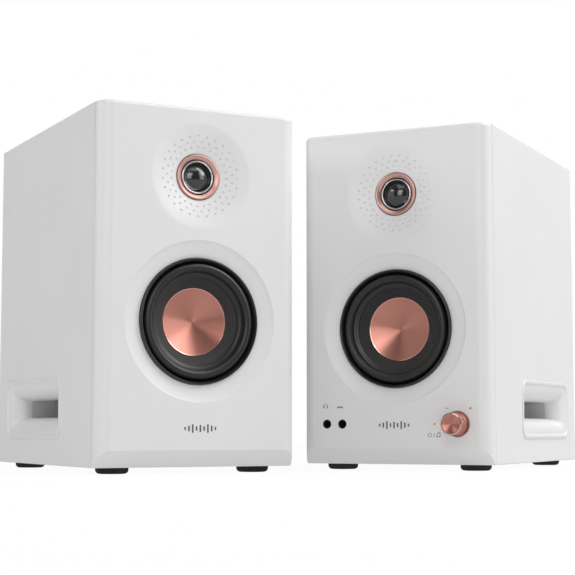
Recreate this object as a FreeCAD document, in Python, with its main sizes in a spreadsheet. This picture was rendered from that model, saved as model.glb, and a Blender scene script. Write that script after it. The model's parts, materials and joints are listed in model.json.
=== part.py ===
"""Pair of powered desktop loudspeakers: a passive left cabinet and an active right one.

Millimetres, +Z up, -Y towards the listener. The origin is on the table, at the middle of the
pair's plan. Each cabinet is drawn in its own frame: x to the right, y backwards from the front
plane, z up from the underside of the box. A cabinet's placement then toes it in.
"""
import FreeCAD, Part
import os

import Sketcher
from FreeCAD import Placement, Rotation, Vector

DIMENSIONS = {
    # the pair on the table
    "toe_in_left": 27.0,            # degrees
    "toe_in_right": 25.5,           # degrees
    "front_spacing": 124.5,         # between the two front centres, along X
    "right_setback": 68.2,          # the right front centre lies this much further back
    # cabinet
    "box_width": 134.0,
    "box_depth": 208.0,             # front plane to rear plane
    "box_height": 225.0,
    "board": 9.0,                   # MDF
    "box_corner": 1.0,
    "seam": 0.5,                    # shadow gap between front moulding and sleeve
    "panel_inset": 2.0,             # rear board lies this far inside the sleeve
    "fit_gap": 0.3,
    # moulded front
    "front_depth": 10.0,
    "front_round": 9.0,
    "front_top_round": 2.6,
    "toe_rise": 10.5,
    "toe_back": 9.0,
    # feet
    "foot_radius": 10.3,
    "foot_tread": 7.6,
    "foot_tall": 4.0,
    "foot_side": 19.0,
    "foot_front": 26.0,
    "foot_rear": 15.0,
    # woofer, axial places counted back from the front plane
    "woofer_up": 90.4,
    "dish_radius": 50.7,
    "dish_deep": 3.2,
    "woofer_hole": 39.9,
    "ring_radius": 39.6,
    "ring_inner": 37.0,
    "ring_front": 0.8,
    "roll_outer": 36.7,
    "roll_inner": 30.5,
    "roll_foot": 4.4,
    "roll_front": 0.9,
    "rubber": 0.7,
    "cone_rim": 27.5,
    "cone_rim_back": 6.6,
    "cone_neck": 13.0,
    "cone_neck_back": 18.2,
    "paper": 0.8,
    "cap_radius": 21.5,
    "cap_rim_back": 10.5,
    "cap_dish": 4.0,
    "cap_skin": 0.6,
    "former_radius": 12.8,
    "former_skin": 0.3,
    "former_front": 17.0,
    "former_back": 37.0,
    "coil_radius": 13.3,
    "coil_front": 27.5,
    "coil_back": 36.0,
    "flange_radius": 46.5,
    "flange_hole": 34.8,
    "flange_skin": 2.0,
    "ledge_back": 24.0,
    "ledge_skin": 1.2,
    "spider_outer": 27.6,
    "spider_skin": 0.5,
    "plate_front": 28.8,
    "plate_back": 33.2,
    "gap_radius": 13.9,
    "magnet_radius": 30.0,
    "magnet_hole": 16.5,
    "magnet_back": 43.2,
    "pole_radius": 11.9,
    "pole_vent": 3.0,
    "yoke_back": 47.2,
    "screw_circle": 43.3,
    # tweeter
    "tweeter_up": 181.7,
    "guide_radius": 34.3,
    "guide_deep": 5.6,
    "tweeter_hole": 14.9,
    "gold_radius": 14.65,
    "gold_inner": 11.4,
    "gold_front": 4.6,
    "gold_throat": 6.6,
    "bright_outer": 10.7,
    "bright_inner": 9.5,
    "bright_front": 6.2,
    "dome_radius": 9.2,
    "dome_tall": 4.1,
    "dome_foot": 9.0,
    "dome_skin": 0.5,
    "chamber_radius": 22.0,
    "tweeter_magnet_radius": 13.5,
    "tweeter_magnet_deep": 12.0,
    # side port
    "port_back": 128.5,             # centre, back from the front plane
    "port_up": 37.0,
    "mouth_long": 118.0,
    "mouth_tall": 40.5,
    "mouth_corner": 10.0,
    "lip_proud": 1.0,
    "lip_wide": 3.0,
    "slot_long": 90.0,
    "slot_tall": 12.0,
    "slot_corner": 2.0,
    "flare_deep": 14.0,
    "flare_round": 13.0,
    "duct_long": 56.0,
    "duct_skin": 2.5,
    # front controls of the active cabinet
    "control_up": 26.7,
    "jack_left": -48.6,
    "jack_right": -37.4,
    "jack_hole": 3.05,
    "jack_bore": 1.8,
    "jack_deep": 14.0,
    "jack_front": 2.5,
    "led_side": 28.3,
    "led_radius": 0.75,
    "knob_side": 44.2,
    "knob_radius": 7.1,
    "knob_stand": 13.5,
    "knob_gap": 0.6,
    "knob_well": 8.5,
    "knob_well_deep": 1.6,
    "shaft_radius": 3.0,
    "running_gap": 0.05,
    "board_skin": 1.6,
    "control_board_front": 22.0,
    "control_board_half": 56.0,
    "control_board_down": 14.0,
    "control_board_rise": 13.0,
    "encoder_half": 6.0,
    "encoder_deep": 8.0,
    "bush_long": 9.0,
    "bush_skin": 0.8,
    "jack_body_half": 4.0,
    "jack_body_rise": 3.5,
    # rear fittings
    "cup_up": 105.0,
    "cup_wide": 50.0,
    "cup_tall": 27.0,
    "cup_deep": 16.0,
    "cup_rim": 5.0,
    "lever_side": 11.0,
    "lever_wide": 11.0,
    "lever_reach": 10.0,
    "lever_thick": 3.2,
    "lever_hub": 2.4,
    "trunnion": 1.0,
    "pivot_sunk": 5.0,              # the levers' trunnions lie this far behind the cup's face
    "pivot_rise": 4.0,              # and this far above its middle
    "well_low": 3.0,
    "well_high": 8.0,
    "wire_hole": 1.5,
    "wire_drop": 7.0,
    "wire_deep": 13.0,
    "crossover_half": 38.0,
    "crossover_low": 140.0,
    "crossover_high": 196.0,
    "coil_can": 14.0,
    "big_can": 7.0,
    "small_can": 5.0,
    "can_tall": 14.0,
    "amp_up": 112.0,
    "amp_wide": 100.0,
    "amp_tall": 150.0,
    "amp_skin": 2.0,
    "amp_board_half": 42.0,
    "amp_board_low": 48.0,
    "amp_board_high": 182.0,
    "amp_board_inside": 28.0,       # ahead of the rear plane
    "filter_can": 8.0,
    "filter_tall": 20.0,
    "sink_left": 6.0,
    "sink_right": 36.0,
    "sink_low": 120.0,
    "sink_high": 170.0,
    "sink_web": 3.0,
    "fin_tall": 18.0,
    "fin_skin": 2.0,
    "fin_pitch": 4.0,
    "tone_control": 8.0,
    "tone_up": 168.0,
    "tone_side": 20.0,
    "tone_radius": 7.0,
    "tone_tall": 12.0,
    "rca_up": 142.0,
    "rca_side": 11.0,
    "rca_radius": 4.15,
    "rca_reach": 9.0,
    "rca_neck": 1.0,                # relieved foot of the shell, up to this height
    "rca_relief": 3.8,
    "rca_shoulder": 5.2,
    "rca_core": 1.6,
    "mains_up": 60.0,
    "mains_side": 22.0,
    "inlet_half": 11.0,
    "inlet_rise": 7.0,
    "inlet_deep": 20.0,
    "fitting_lip": 2.0,             # rim of the inlet and of the switch beyond their bodies
    "fitting_proud": 1.0,
    "inlet_pin": 1.2,
    "inlet_pin_side": 4.3,
    "inlet_round": 8.5,
    "inlet_recess": 14.0,
    "inlet_pin_long": 9.5,
    "switch_half": 6.5,
    "switch_rise": 10.0,
    "switch_deep": 16.0,
    "switch_well": 9.0,
    "rocker_half": 6.4,
    "rocker_wide": 8.0,
    "rocker_sunk": 1.5,             # pivot below the plate's face
    "rocker_tilt": 7.0,             # degrees either side of level
    "screw_radius": 1.4,
    "screw_head": 3.0,
}

SIDES = ("left", "right")
OUTWARD = {"left": -1, "right": 1}      # which way each cabinet's port looks, along its own x


class Size:
    """A length with its value and the spreadsheet expression that gives it."""

    def __init__(self, value, text):
        self.value = value
        self.text = text

    @staticmethod
    def of(thing):
        return thing if isinstance(thing, Size) else Size(float(thing), repr(float(thing)))

    def __add__(self, other):
        other = Size.of(other)
        return Size(self.value + other.value, f"({self.text} + {other.text})")

    def __sub__(self, other):
        other = Size.of(other)
        return Size(self.value - other.value, f"({self.text} - {other.text})")

    def __mul__(self, factor):
        return Size(self.value * factor, f"({self.text} * {float(factor)!r})")

    def __truediv__(self, divisor):
        return self * (1.0 / divisor)

    def __neg__(self):
        return self * -1.0

    def __radd__(self, other):
        return Size.of(other) + self

    def __rsub__(self, other):
        return Size.of(other) - self


doc = FreeCAD.newDocument("DesktopSpeakers")
sheet = doc.addObject("Spreadsheet::Sheet", "Sizes")
for row, (alias, number) in enumerate(DIMENSIONS.items(), start=1):
    sheet.set(f"A{row}", alias)
    sheet.set(f"B{row}", str(number))
    sheet.setAlias(f"B{row}", alias)
doc.recompute()


class Sheet:
    """Sizes by name, read back from the spreadsheet."""

    def __getattr__(self, alias):
        return Size(float(sheet.get(alias)), f"Sizes.{alias}")


D = Sheet()
EXPORTED = []


# ---------------------------------------------------------------- sketches and features

def new_body(label):
    body = doc.addObject("PartDesign::Body", label)
    body.Label = label
    return body


def sketch_on(body, plane, lift=None):
    """A sketch on one of the body's origin planes, lifted along the plane's normal."""
    sketch = body.newObject("Sketcher::SketchObject", f"{body.Name}_sketch")
    support = [plane_object for plane_object in body.Origin.OriginFeatures
               if plane_object.Role == f"{plane}_Plane"][0]
    sketch.AttachmentSupport = [(support, "")]
    sketch.MapMode = "FlatFace"
    if lift is not None:
        lift = Size.of(lift)
        sketch.AttachmentOffset = Placement(Vector(0, 0, lift.value), Rotation())
        sketch.setExpression("AttachmentOffset.Base.z", lift.text)
    return sketch


def pin_point(sketch, geometry, point, place):
    """Bind one sketch point's two coordinates to the spreadsheet."""
    for kind, size in zip(("DistanceX", "DistanceY"), place):
        size = Size.of(size)
        index = sketch.addConstraint(Sketcher.Constraint(kind, geometry, point, size.value))
        name = f"{kind}_{geometry}_{point}"
        sketch.renameConstraint(index, name)
        sketch.setExpression(f"Constraints.{name}", size.text)


def flat(place):
    """A pair of sizes as a sketch vector."""
    return Vector(Size.of(place[0]).value, Size.of(place[1]).value, 0)


def outline(sketch, corners, bulges=None):
    """A closed outline. bulges gives, by edge number, a point that an arc edge passes through.

    A sketch's arc runs anticlockwise from point 1 to point 2, so a clockwise one is drawn reversed.
    """
    bulges = bulges or {}
    first = sketch.GeometryCount
    count = len(corners)
    starts = {}
    for index, corner in enumerate(corners):
        start, end = flat(corner), flat(corners[(index + 1) % count])
        forward = True
        if index in bulges:
            middle = flat(bulges[index])
            forward = (middle - start).cross(end - middle).z > 0
            first_point, last_point = (start, end) if forward else (end, start)
            sketch.addGeometry(Part.Arc(first_point, middle, last_point))
        else:
            sketch.addGeometry(Part.LineSegment(start, end))
        starts[index] = (first + index, 1 if forward else 2, 2 if forward else 1)
    for index, corner in enumerate(corners):
        geometry, near, far = starts[index]
        following, entry, _ = starts[(index + 1) % count]
        sketch.addConstraint(Sketcher.Constraint("Coincident", geometry, far, following, entry))
        pin_point(sketch, geometry, near, corner)
    for index, bulge in bulges.items():
        guide = sketch.addGeometry(Part.Point(flat(bulge)), True)
        pin_point(sketch, guide, 1, bulge)
        sketch.addConstraint(Sketcher.Constraint("PointOnObject", guide, 1, first + index))
    return sketch


def circle(sketch, centre, radius):
    radius = Size.of(radius)
    geometry = sketch.addGeometry(Part.Circle(flat(centre), Vector(0, 0, 1), radius.value))
    pin_point(sketch, geometry, 3, centre)
    index = sketch.addConstraint(Sketcher.Constraint("Radius", geometry, radius.value))
    sketch.renameConstraint(index, f"Radius_{geometry}")
    sketch.setExpression(f"Constraints.Radius_{geometry}", radius.text)
    return sketch


def rectangle(sketch, left, right, low, high):
    return outline(sketch, [(left, low), (right, low), (right, high), (left, high)])


def round_rectangle(sketch, width, height, radius):
    """Rounded rectangle about the sketch's origin."""
    half_x, half_y = width / 2, height / 2
    slack = radius * (1 - 0.5 ** 0.5)
    corners, bulges = [], {}
    for sign_x, sign_y, turn in ((1, -1, 0), (1, 1, 1), (-1, 1, 0), (-1, -1, 1)):
        on_side = (half_x * sign_x, (half_y - radius) * sign_y)
        on_end = ((half_x - radius) * sign_x, half_y * sign_y)
        bulges[len(corners)] = ((half_x - slack) * sign_x, (half_y - slack) * sign_y)
        corners += [on_end, on_side] if turn == 0 else [on_side, on_end]
    return outline(sketch, corners, bulges)


def finish(body, feature):
    body.Tip = feature
    doc.recompute()
    if feature.Shape.isNull() or not feature.Shape.isValid():
        raise RuntimeError(f"{body.Label}: {feature.Name} made no valid shape")
    return feature


def bound_length(feature, length):
    length = Size.of(length)
    feature.Length = length.value
    feature.setExpression("Length", length.text)


def pad(body, sketch, length, backwards=False):
    feature = body.newObject("PartDesign::Pad", f"{body.Name}_pad")
    feature.Profile = sketch
    bound_length(feature, length)
    feature.Reversed = backwards
    return finish(body, feature)


def checked_cut(body, feature):
    """Finish a feature that takes material away, and make sure that it did."""
    before = feature.BaseFeature.Shape.Volume
    finish(body, feature)
    if feature.Shape.Volume > before - 1e-3:
        raise RuntimeError(f"{body.Label}: {feature.Name} cut nothing")
    return feature


def pocket(body, sketch, length, backwards=False):
    """Cut along the sketch's normal, or against it when backwards."""
    feature = body.newObject("PartDesign::Pocket", f"{body.Name}_pocket")
    feature.Profile = sketch
    bound_length(feature, length)
    feature.Reversed = not backwards
    return checked_cut(body, feature)


def revolve(body, sketch):
    feature = body.newObject("PartDesign::Revolution", f"{body.Name}_revolution")
    feature.Profile = sketch
    feature.ReferenceAxis = (sketch, ["V_Axis"])
    feature.Angle = 360
    return finish(body, feature)


def groove(body, sketch):
    feature = body.newObject("PartDesign::Groove", f"{body.Name}_groove")
    feature.Profile = sketch
    feature.ReferenceAxis = (sketch, ["V_Axis"])
    feature.Angle = 360
    return checked_cut(body, feature)


def fillet(body, base, radius, wanted):
    """Round the edges of base for which wanted(edge) holds."""
    names = [f"Edge{number}" for number, edge in enumerate(base.Shape.Edges, start=1)
             if wanted(edge)]
    feature = body.newObject("PartDesign::Fillet", f"{body.Name}_fillet")
    feature.Base = (base, names)
    feature.Radius = radius.value
    feature.setExpression("Radius", radius.text)
    return finish(body, feature)


def turned(label, corners, bulges=None):
    """A piece of revolution about its own Y axis: corners are (radius, depth)."""
    body = new_body(label)
    revolve(body, outline(sketch_on(body, "XY"), corners, bulges))
    return body


def along(start, end, share):
    return start + (end - start) * share


# ---------------------------------------------------------------- placing

def box_placement(side):
    """Where a cabinet's own frame lies, before the pair is centred on the origin."""
    turn = D.toe_in_left.value if side == "left" else -D.toe_in_right.value
    spot = Vector(0, 0, D.foot_tall.value)
    if side == "right":
        spot = Vector(D.front_spacing.value, D.right_setback.value, D.foot_tall.value)
    return Placement(spot, Rotation(Vector(0, 0, 1), turn))


def place(thing, side, x=0, y=0, z=0, turn=None):
    """Set a piece at a point of one cabinet's frame, and mark it as a sub-part."""
    at = Vector(*(Size.of(size).value for size in (x, y, z)))
    thing.Placement = box_placement(side) * Placement(at, turn or Rotation())
    EXPORTED.append(thing)
    return thing


def group(label, placed):
    """One node of identical solids: placed is a list of (solid, placement)."""
    solids = []
    for solid, placement in placed:
        copy = solid.copy()
        copy.Placement = placement
        solids.append(copy)
    feature = doc.addObject("Part::Feature", label)
    feature.Label = label
    feature.Shape = Part.makeCompound(solids)
    EXPORTED.append(feature)
    return feature


# ---------------------------------------------------------------- cabinet

def make_cabinet(side):
    """MDF sleeve, open at front and back, with the port's window in its outer wall."""
    body = new_body(f"{side}_cabinet")
    half = D.box_width / 2
    section = sketch_on(body, "XZ", -(D.front_depth + D.seam))
    for inset, corner in ((Size.of(0), D.box_corner), (D.board, D.box_corner)):
        left, right = inset - half, half - inset
        low, high = inset, D.box_height - inset
        slack = corner * (1 - 0.5 ** 0.5)
        outline(section,
                [(left + corner, low), (right - corner, low), (right, low + corner),
                 (right, high - corner), (right - corner, high), (left + corner, high),
                 (left, high - corner), (left, low + corner)],
                {1: (right - slack, low + slack), 3: (right - slack, high - slack),
                 5: (left + slack, high - slack), 7: (left + slack, low + slack)})
    pad(body, section, D.box_depth - D.front_depth - D.seam, backwards=True)
    window = sketch_on(body, "YZ")
    half_long = D.mouth_long / 2 - D.lip_wide + D.fit_gap
    half_tall = D.mouth_tall / 2 - D.lip_wide + D.fit_gap
    rectangle(window, D.port_back - half_long, D.port_back + half_long,
              D.port_up - half_tall, D.port_up + half_tall)
    pocket(body, window, half + 1, backwards=side == "left")
    place(body, side)


def make_front_baffle(side):
    """Moulded front: rounded uprights, chamfered foot, two dishes and their holes."""
    body = new_body(f"{side}_front_baffle")
    half, radius = D.box_width / 2, D.front_round
    slack = radius * (1 - 0.5 ** 0.5)
    plan = outline(sketch_on(body, "XY"),
                   [(-half, D.front_depth), (half, D.front_depth), (half, radius),
                    (half - radius, 0), (radius - half, 0), (-half, radius)],
                   {2: (half - slack, slack), 4: (slack - half, slack)})
    slab = pad(body, plan, D.box_height)
    fillet(body, slab, D.front_top_round, lambda edge: is_top_front(edge, slab))
    toe = outline(sketch_on(body, "YZ", -half - 1),
                  [(-1, -1), (D.toe_back, -1), (D.toe_back, 0), (0, D.toe_rise),
                   (-1, D.toe_rise)])
    pocket(body, toe, D.box_width + 2)
    beyond = D.front_depth + 1
    for height, rim, deep, hole in (
            (D.woofer_up, D.dish_radius, D.dish_deep, D.woofer_hole),
            (D.tweeter_up, D.guide_radius, D.guide_deep, D.tweeter_hole)):
        cut = outline(sketch_on(body, "XY", height),
                      [(0, -1), (rim, -1), (rim, 0), (hole, deep), (hole, beyond), (0, beyond)],
                      {2: (along(hole, rim, 0.5), deep * 0.66)})
        groove(body, cut)
    screw_holes = sketch_on(body, "XZ", -D.front_depth)
    for sign_x, sign_z in ((1, 1), (1, -1), (-1, 1), (-1, -1)):
        reach = D.screw_circle * 0.5 ** 0.5
        circle(screw_holes, (reach * sign_x, D.woofer_up + reach * sign_z),
               D.screw_radius + D.running_gap)
    pocket(body, screw_holes, 4.5)
    if side == "right":
        cut_control_holes(body)
    place(body, side)


def is_top_front(edge, slab):
    """The top edges of the front moulding, without the one against the cabinet."""
    box = edge.BoundBox
    top = slab.Shape.BoundBox.ZMax
    return abs(box.ZMin - top) < 1e-3 and abs(box.ZMax - top) < 1e-3 and \
        box.YMin < D.front_depth.value - 1e-3


def cut_control_holes(body):
    """Two jack holes, the lamp's hole, and the knob's well with the shaft hole in it."""
    through = sketch_on(body, "XZ")
    for jack in (D.jack_left, D.jack_right):
        circle(through, (jack, D.control_up), D.jack_hole)
    circle(through, (D.led_side, D.control_up), D.led_radius + D.running_gap)
    circle(through, (D.knob_side, D.control_up), D.shaft_radius + 1)
    pocket(body, through, D.front_depth + 1, backwards=True)
    well = circle(sketch_on(body, "XZ"), (D.knob_side, D.control_up), D.knob_well)
    pocket(body, well, D.knob_well_deep, backwards=True)


def make_back_panel(side):
    """Rear board inside the sleeve, with a window for the terminal cup or the amplifier."""
    body = new_body(f"{side}_back_panel")
    gap = D.board + D.fit_gap
    half = D.box_width / 2 - gap
    face = rectangle(sketch_on(body, "XZ", -(D.box_depth - D.panel_inset)),
                     -half, half, gap, D.box_height - gap)
    pad(body, face, D.board)
    window = sketch_on(body, "XZ", -D.box_depth)
    if side == "left":
        half_wide, half_tall, middle = D.cup_wide / 2 + D.fit_gap, D.cup_tall / 2, D.cup_up
    else:
        half_wide, half_tall, middle = D.amp_wide / 2 - 7, D.amp_tall / 2 - 7, D.amp_up
    rectangle(window, -half_wide, half_wide, middle - half_tall - D.fit_gap,
              middle + half_tall + D.fit_gap)
    pocket(body, window, D.board * 2)
    holes = sketch_on(body, "XZ", -D.box_depth)
    for x, z in screw_spots(side):
        circle(holes, (x, z), D.screw_radius + D.running_gap)
    pocket(body, holes, D.board * 2)
    place(body, side)


def screw_spots(side):
    """Corner screws of the left terminal cup, or of the right amplifier plate."""
    if side == "left":
        reach_x, reach_z, middle = D.cup_wide / 2 + D.screw_head, D.cup_tall / 2 - 3, D.cup_up
    else:
        reach_x, reach_z, middle = D.amp_wide / 2 - 3.5, D.amp_tall / 2 - 3.5, D.amp_up
    return [(reach_x * sx, middle + reach_z * sz) for sx in (1, -1) for sz in (1, -1)]


def make_feet(side):
    """Four turned rubber feet under one cabinet, as one group."""
    foot = Part.Face(Part.Wire([
        Part.LineSegment(Vector(0, 0, 0), Vector(0, 0, -D.foot_tall.value)).toShape(),
        Part.LineSegment(Vector(0, 0, -D.foot_tall.value),
                         Vector(D.foot_tread.value, 0, -D.foot_tall.value)).toShape(),
        Part.Arc(Vector(D.foot_tread.value, 0, -D.foot_tall.value),
                 Vector(D.foot_radius.value - 0.8, 0, -D.foot_tall.value * 0.68),
                 Vector(D.foot_radius.value, 0, -D.foot_tall.value * 0.36)).toShape(),
        Part.LineSegment(Vector(D.foot_radius.value, 0, -D.foot_tall.value * 0.36),
                         Vector(D.foot_radius.value, 0, 0)).toShape(),
        Part.LineSegment(Vector(D.foot_radius.value, 0, 0), Vector(0, 0, 0)).toShape(),
    ])).revolve(Vector(0, 0, 0), Vector(0, 0, 1), 360)
    reach = D.box_width.value / 2 - D.foot_side.value
    rows = (D.foot_front.value, D.box_depth.value - D.foot_rear.value)
    spots = [Vector(sign * reach, row, 0) for sign in (1, -1) for row in rows]
    group(f"{side}_feet", [(foot, box_placement(side) * Placement(spot, Rotation()))
                           for spot in spots])


# ---------------------------------------------------------------- side port

def make_port(side):
    """Flared mouth in the outer wall, and the flat duct behind it. x runs into the cabinet."""
    flare = new_body(f"{side}_port_flare")
    lip = round_rectangle(sketch_on(flare, "YZ", -D.lip_proud),
                          D.mouth_long, D.mouth_tall, D.mouth_corner)
    pad(flare, lip, D.lip_proud)
    neck = rectangle(sketch_on(flare, "YZ"),
                     D.lip_wide - D.mouth_long / 2, D.mouth_long / 2 - D.lip_wide,
                     D.lip_wide - D.mouth_tall / 2, D.mouth_tall / 2 - D.lip_wide)
    pad(flare, neck, D.flare_deep)
    slot = round_rectangle(sketch_on(flare, "YZ", -D.lip_proud * 2),
                           D.slot_long, D.slot_tall, D.slot_corner)
    opened = pocket(flare, slot, D.flare_deep + 5)
    fillet(flare, opened, D.flare_round, is_slot_mouth)

    duct = new_body(f"{side}_port_duct")
    skin = D.duct_skin * 2
    walls = round_rectangle(sketch_on(duct, "YZ", D.flare_deep),
                            D.slot_long + skin, D.slot_tall + skin, D.slot_corner + D.duct_skin)
    round_rectangle(walls, D.slot_long, D.slot_tall, D.slot_corner)
    pad(duct, walls, D.duct_long)
    turn = Rotation(Vector(0, 0, 1), 0 if side == "left" else 180)
    for piece in (flare, duct):
        place(piece, side, D.box_width / 2 * OUTWARD[side], D.port_back, D.port_up, turn)


def is_slot_mouth(edge):
    """The edges where the port's slot meets the front of the lip."""
    box = edge.BoundBox
    front = -D.lip_proud.value
    return abs(box.XMin - front) < 1e-3 and abs(box.XMax - front) < 1e-3 and \
        max(abs(box.YMin), abs(box.YMax)) < D.slot_long.value / 2 + 1e-3 and \
        max(abs(box.ZMin), abs(box.ZMax)) < D.slot_tall.value / 2 + 1e-3


# ---------------------------------------------------------------- drivers

def make_woofer(side):
    """The long-throw driver, from trim ring to yoke. Depths count back from the front plane."""
    def fix(thing):
        place(thing, side, z=D.woofer_up)

    def named(name):
        return f"{side}_woofer_{name}"

    back = D.front_depth
    fix(turned(named("trim_ring"),
               [(D.ring_inner, D.roll_foot), (D.ring_radius - 0.9, D.ring_front),
                (D.ring_radius, D.ring_front + 0.9), (D.ring_radius, back), (D.ring_inner, back)],
               {1: (D.ring_radius - 0.25, D.ring_front + 0.25)}))

    roll_mid = along(D.roll_inner, D.roll_outer, 0.5)
    fix(turned(named("surround"),
               [(D.roll_outer, back - 0.4), (D.roll_outer, D.roll_foot),
                (D.roll_inner, D.roll_foot), (D.cone_rim, D.roll_foot + 1),
                (D.cone_rim, D.roll_foot + 1 + D.rubber),
                (D.roll_inner + D.rubber, D.roll_foot + D.rubber),
                (D.roll_outer - D.rubber, D.roll_foot + D.rubber),
                (D.roll_outer - D.rubber, back - 0.4)],
               {1: (roll_mid, D.roll_front), 5: (roll_mid, D.roll_front + D.rubber)}))

    glue_rim = D.roll_inner - 0.3
    fix(turned(named("cone"),
               [(glue_rim, D.cone_rim_back - 0.7), (D.cone_rim, D.cone_rim_back),
                (D.cone_neck, D.cone_neck_back), (D.cone_neck, D.cone_neck_back + D.paper),
                (D.cone_rim, D.cone_rim_back + D.paper), (glue_rim, D.cone_rim_back + 0.1)]))

    cap_middle = D.cap_rim_back + D.cap_dish
    half_way = D.cap_rim_back + D.cap_dish * 0.75
    flat_middle = 1.0
    fix(turned(named("dust_cap"),
               [(0, cap_middle), (flat_middle, cap_middle), (D.cap_radius, D.cap_rim_back),
                (D.cap_radius, D.cap_rim_back + D.cap_skin),
                (flat_middle, cap_middle + D.cap_skin), (0, cap_middle + D.cap_skin)],
               {1: (D.cap_radius / 2, half_way), 3: (D.cap_radius / 2, half_way + D.cap_skin)}))

    inside = D.former_radius - D.former_skin
    fix(turned(named("voice_coil"),
               [(inside, D.former_front), (D.former_radius, D.former_front),
                (D.former_radius, D.coil_front), (D.coil_radius, D.coil_front),
                (D.coil_radius, D.coil_back), (D.former_radius, D.coil_back),
                (D.former_radius, D.former_back), (inside, D.former_back)]))

    make_spider(side)

    ledge = D.spider_outer + 0.6
    basket = turned(named("basket"),
                    [(D.flange_hole, back), (D.flange_radius, back),
                     (D.flange_radius, back + D.flange_skin), (39.0, back + D.flange_skin),
                     (ledge + 1.2, D.ledge_back), (ledge + 1.2, D.plate_back),
                     (D.gap_radius, D.plate_back), (D.gap_radius, D.plate_front),
                     (ledge, D.plate_front), (ledge, D.ledge_back + D.ledge_skin),
                     (ledge - 3, D.ledge_back + D.ledge_skin), (ledge - 3, D.ledge_back),
                     (ledge - 0.2, D.ledge_back), (36.8, back + D.flange_skin),
                     (D.flange_hole, back + D.flange_skin)])
    vent = rectangle(sketch_on(basket, "YZ", -D.flange_radius),
                     back + D.flange_skin + 1.5, D.ledge_back - 1.5, -9, 9)
    vented = pocket(basket, vent, D.flange_radius * 2)
    pattern = basket.newObject("PartDesign::PolarPattern", f"{basket.Name}_windows")
    pattern.Originals = [vented]
    pattern.Axis = (vent, ["H_Axis"])
    pattern.Angle = 90
    pattern.Occurrences = 2
    finish(basket, pattern)
    holes = sketch_on(basket, "XZ", -(back + D.flange_skin + 1))
    reach = D.screw_circle * 0.5 ** 0.5
    for sign_x, sign_z in ((1, 1), (1, -1), (-1, 1), (-1, -1)):
        circle(holes, (reach * sign_x, reach * sign_z), D.screw_radius + 0.2)
    pocket(basket, holes, D.flange_skin + 2)
    fix(basket)

    fix(turned(named("magnet"),
               [(D.magnet_hole, D.plate_back), (D.magnet_radius, D.plate_back),
                (D.magnet_radius, D.magnet_back), (D.magnet_hole, D.magnet_back)]))
    fix(turned(named("yoke"),
               [(D.pole_vent, D.plate_front + 1), (D.pole_radius, D.plate_front + 1),
                (D.pole_radius, D.magnet_back), (D.magnet_radius - 2, D.magnet_back),
                (D.magnet_radius - 2, D.yoke_back), (D.pole_vent, D.yoke_back)]))


def make_spider(side):
    """Corrugated cloth disc that centres the voice coil: a ring of small waves."""
    start = D.former_radius + 0.3
    waves = 5
    step = (D.spider_outer - start) / (2 * waves)
    front = D.ledge_back - 0.3 - D.spider_skin - 1.2
    crest = [(start + step * index, front + (1.2 if index % 2 else 0))
             for index in range(2 * waves + 1)]
    corners = crest + [(radius, depth + D.spider_skin) for radius, depth in reversed(crest)]
    place(turned(f"{side}_woofer_spider", corners), side, z=D.woofer_up)


def make_tweeter(side):
    """The dome driver: gilt ring, face plate with its bright ring, dome and magnet."""
    def fix(name, corners, bulges=None):
        place(turned(f"{side}_tweeter_{name}", corners, bulges), side, z=D.tweeter_up)

    back = D.front_depth
    fix("trim_ring",
        [(D.gold_radius - 0.8, D.gold_front), (D.gold_radius, D.gold_front + 0.8),
         (D.gold_radius, back), (D.gold_inner, back), (D.gold_inner, D.gold_throat)],
        {0: (D.gold_radius - 0.23, D.gold_front + 0.23)})
    plate_back = back + D.flange_skin
    fix("faceplate",
        [(D.bright_inner, D.bright_front), (D.bright_outer, D.bright_front),
         (D.bright_outer, back), (D.chamber_radius, back), (D.chamber_radius, plate_back),
         (D.bright_inner, plate_back)])
    apex = D.dome_foot - D.dome_tall
    inner = D.dome_radius - D.dome_skin
    bow = 0.263
    fix("dome",
        [(0, apex), (D.dome_radius, D.dome_foot), (D.dome_radius, D.dome_foot + 5),
         (inner, D.dome_foot + 5), (inner, D.dome_foot), (0, apex + D.dome_skin)],
        {0: (D.dome_radius * 0.55, apex + D.dome_tall * bow),
         4: (inner * 0.55, apex + D.dome_skin + (D.dome_tall - D.dome_skin) * bow)})
    pole = inner - 0.4
    fix("magnet",
        [(0, plate_back + 0.6), (pole, plate_back + 0.6), (pole, plate_back + 5),
         (D.dome_radius + 0.3, plate_back + 5), (D.dome_radius + 0.3, plate_back),
         (D.tweeter_magnet_radius, plate_back),
         (D.tweeter_magnet_radius, plate_back + D.tweeter_magnet_deep),
         (0, plate_back + D.tweeter_magnet_deep)])


# ---------------------------------------------------------------- terminals

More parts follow.
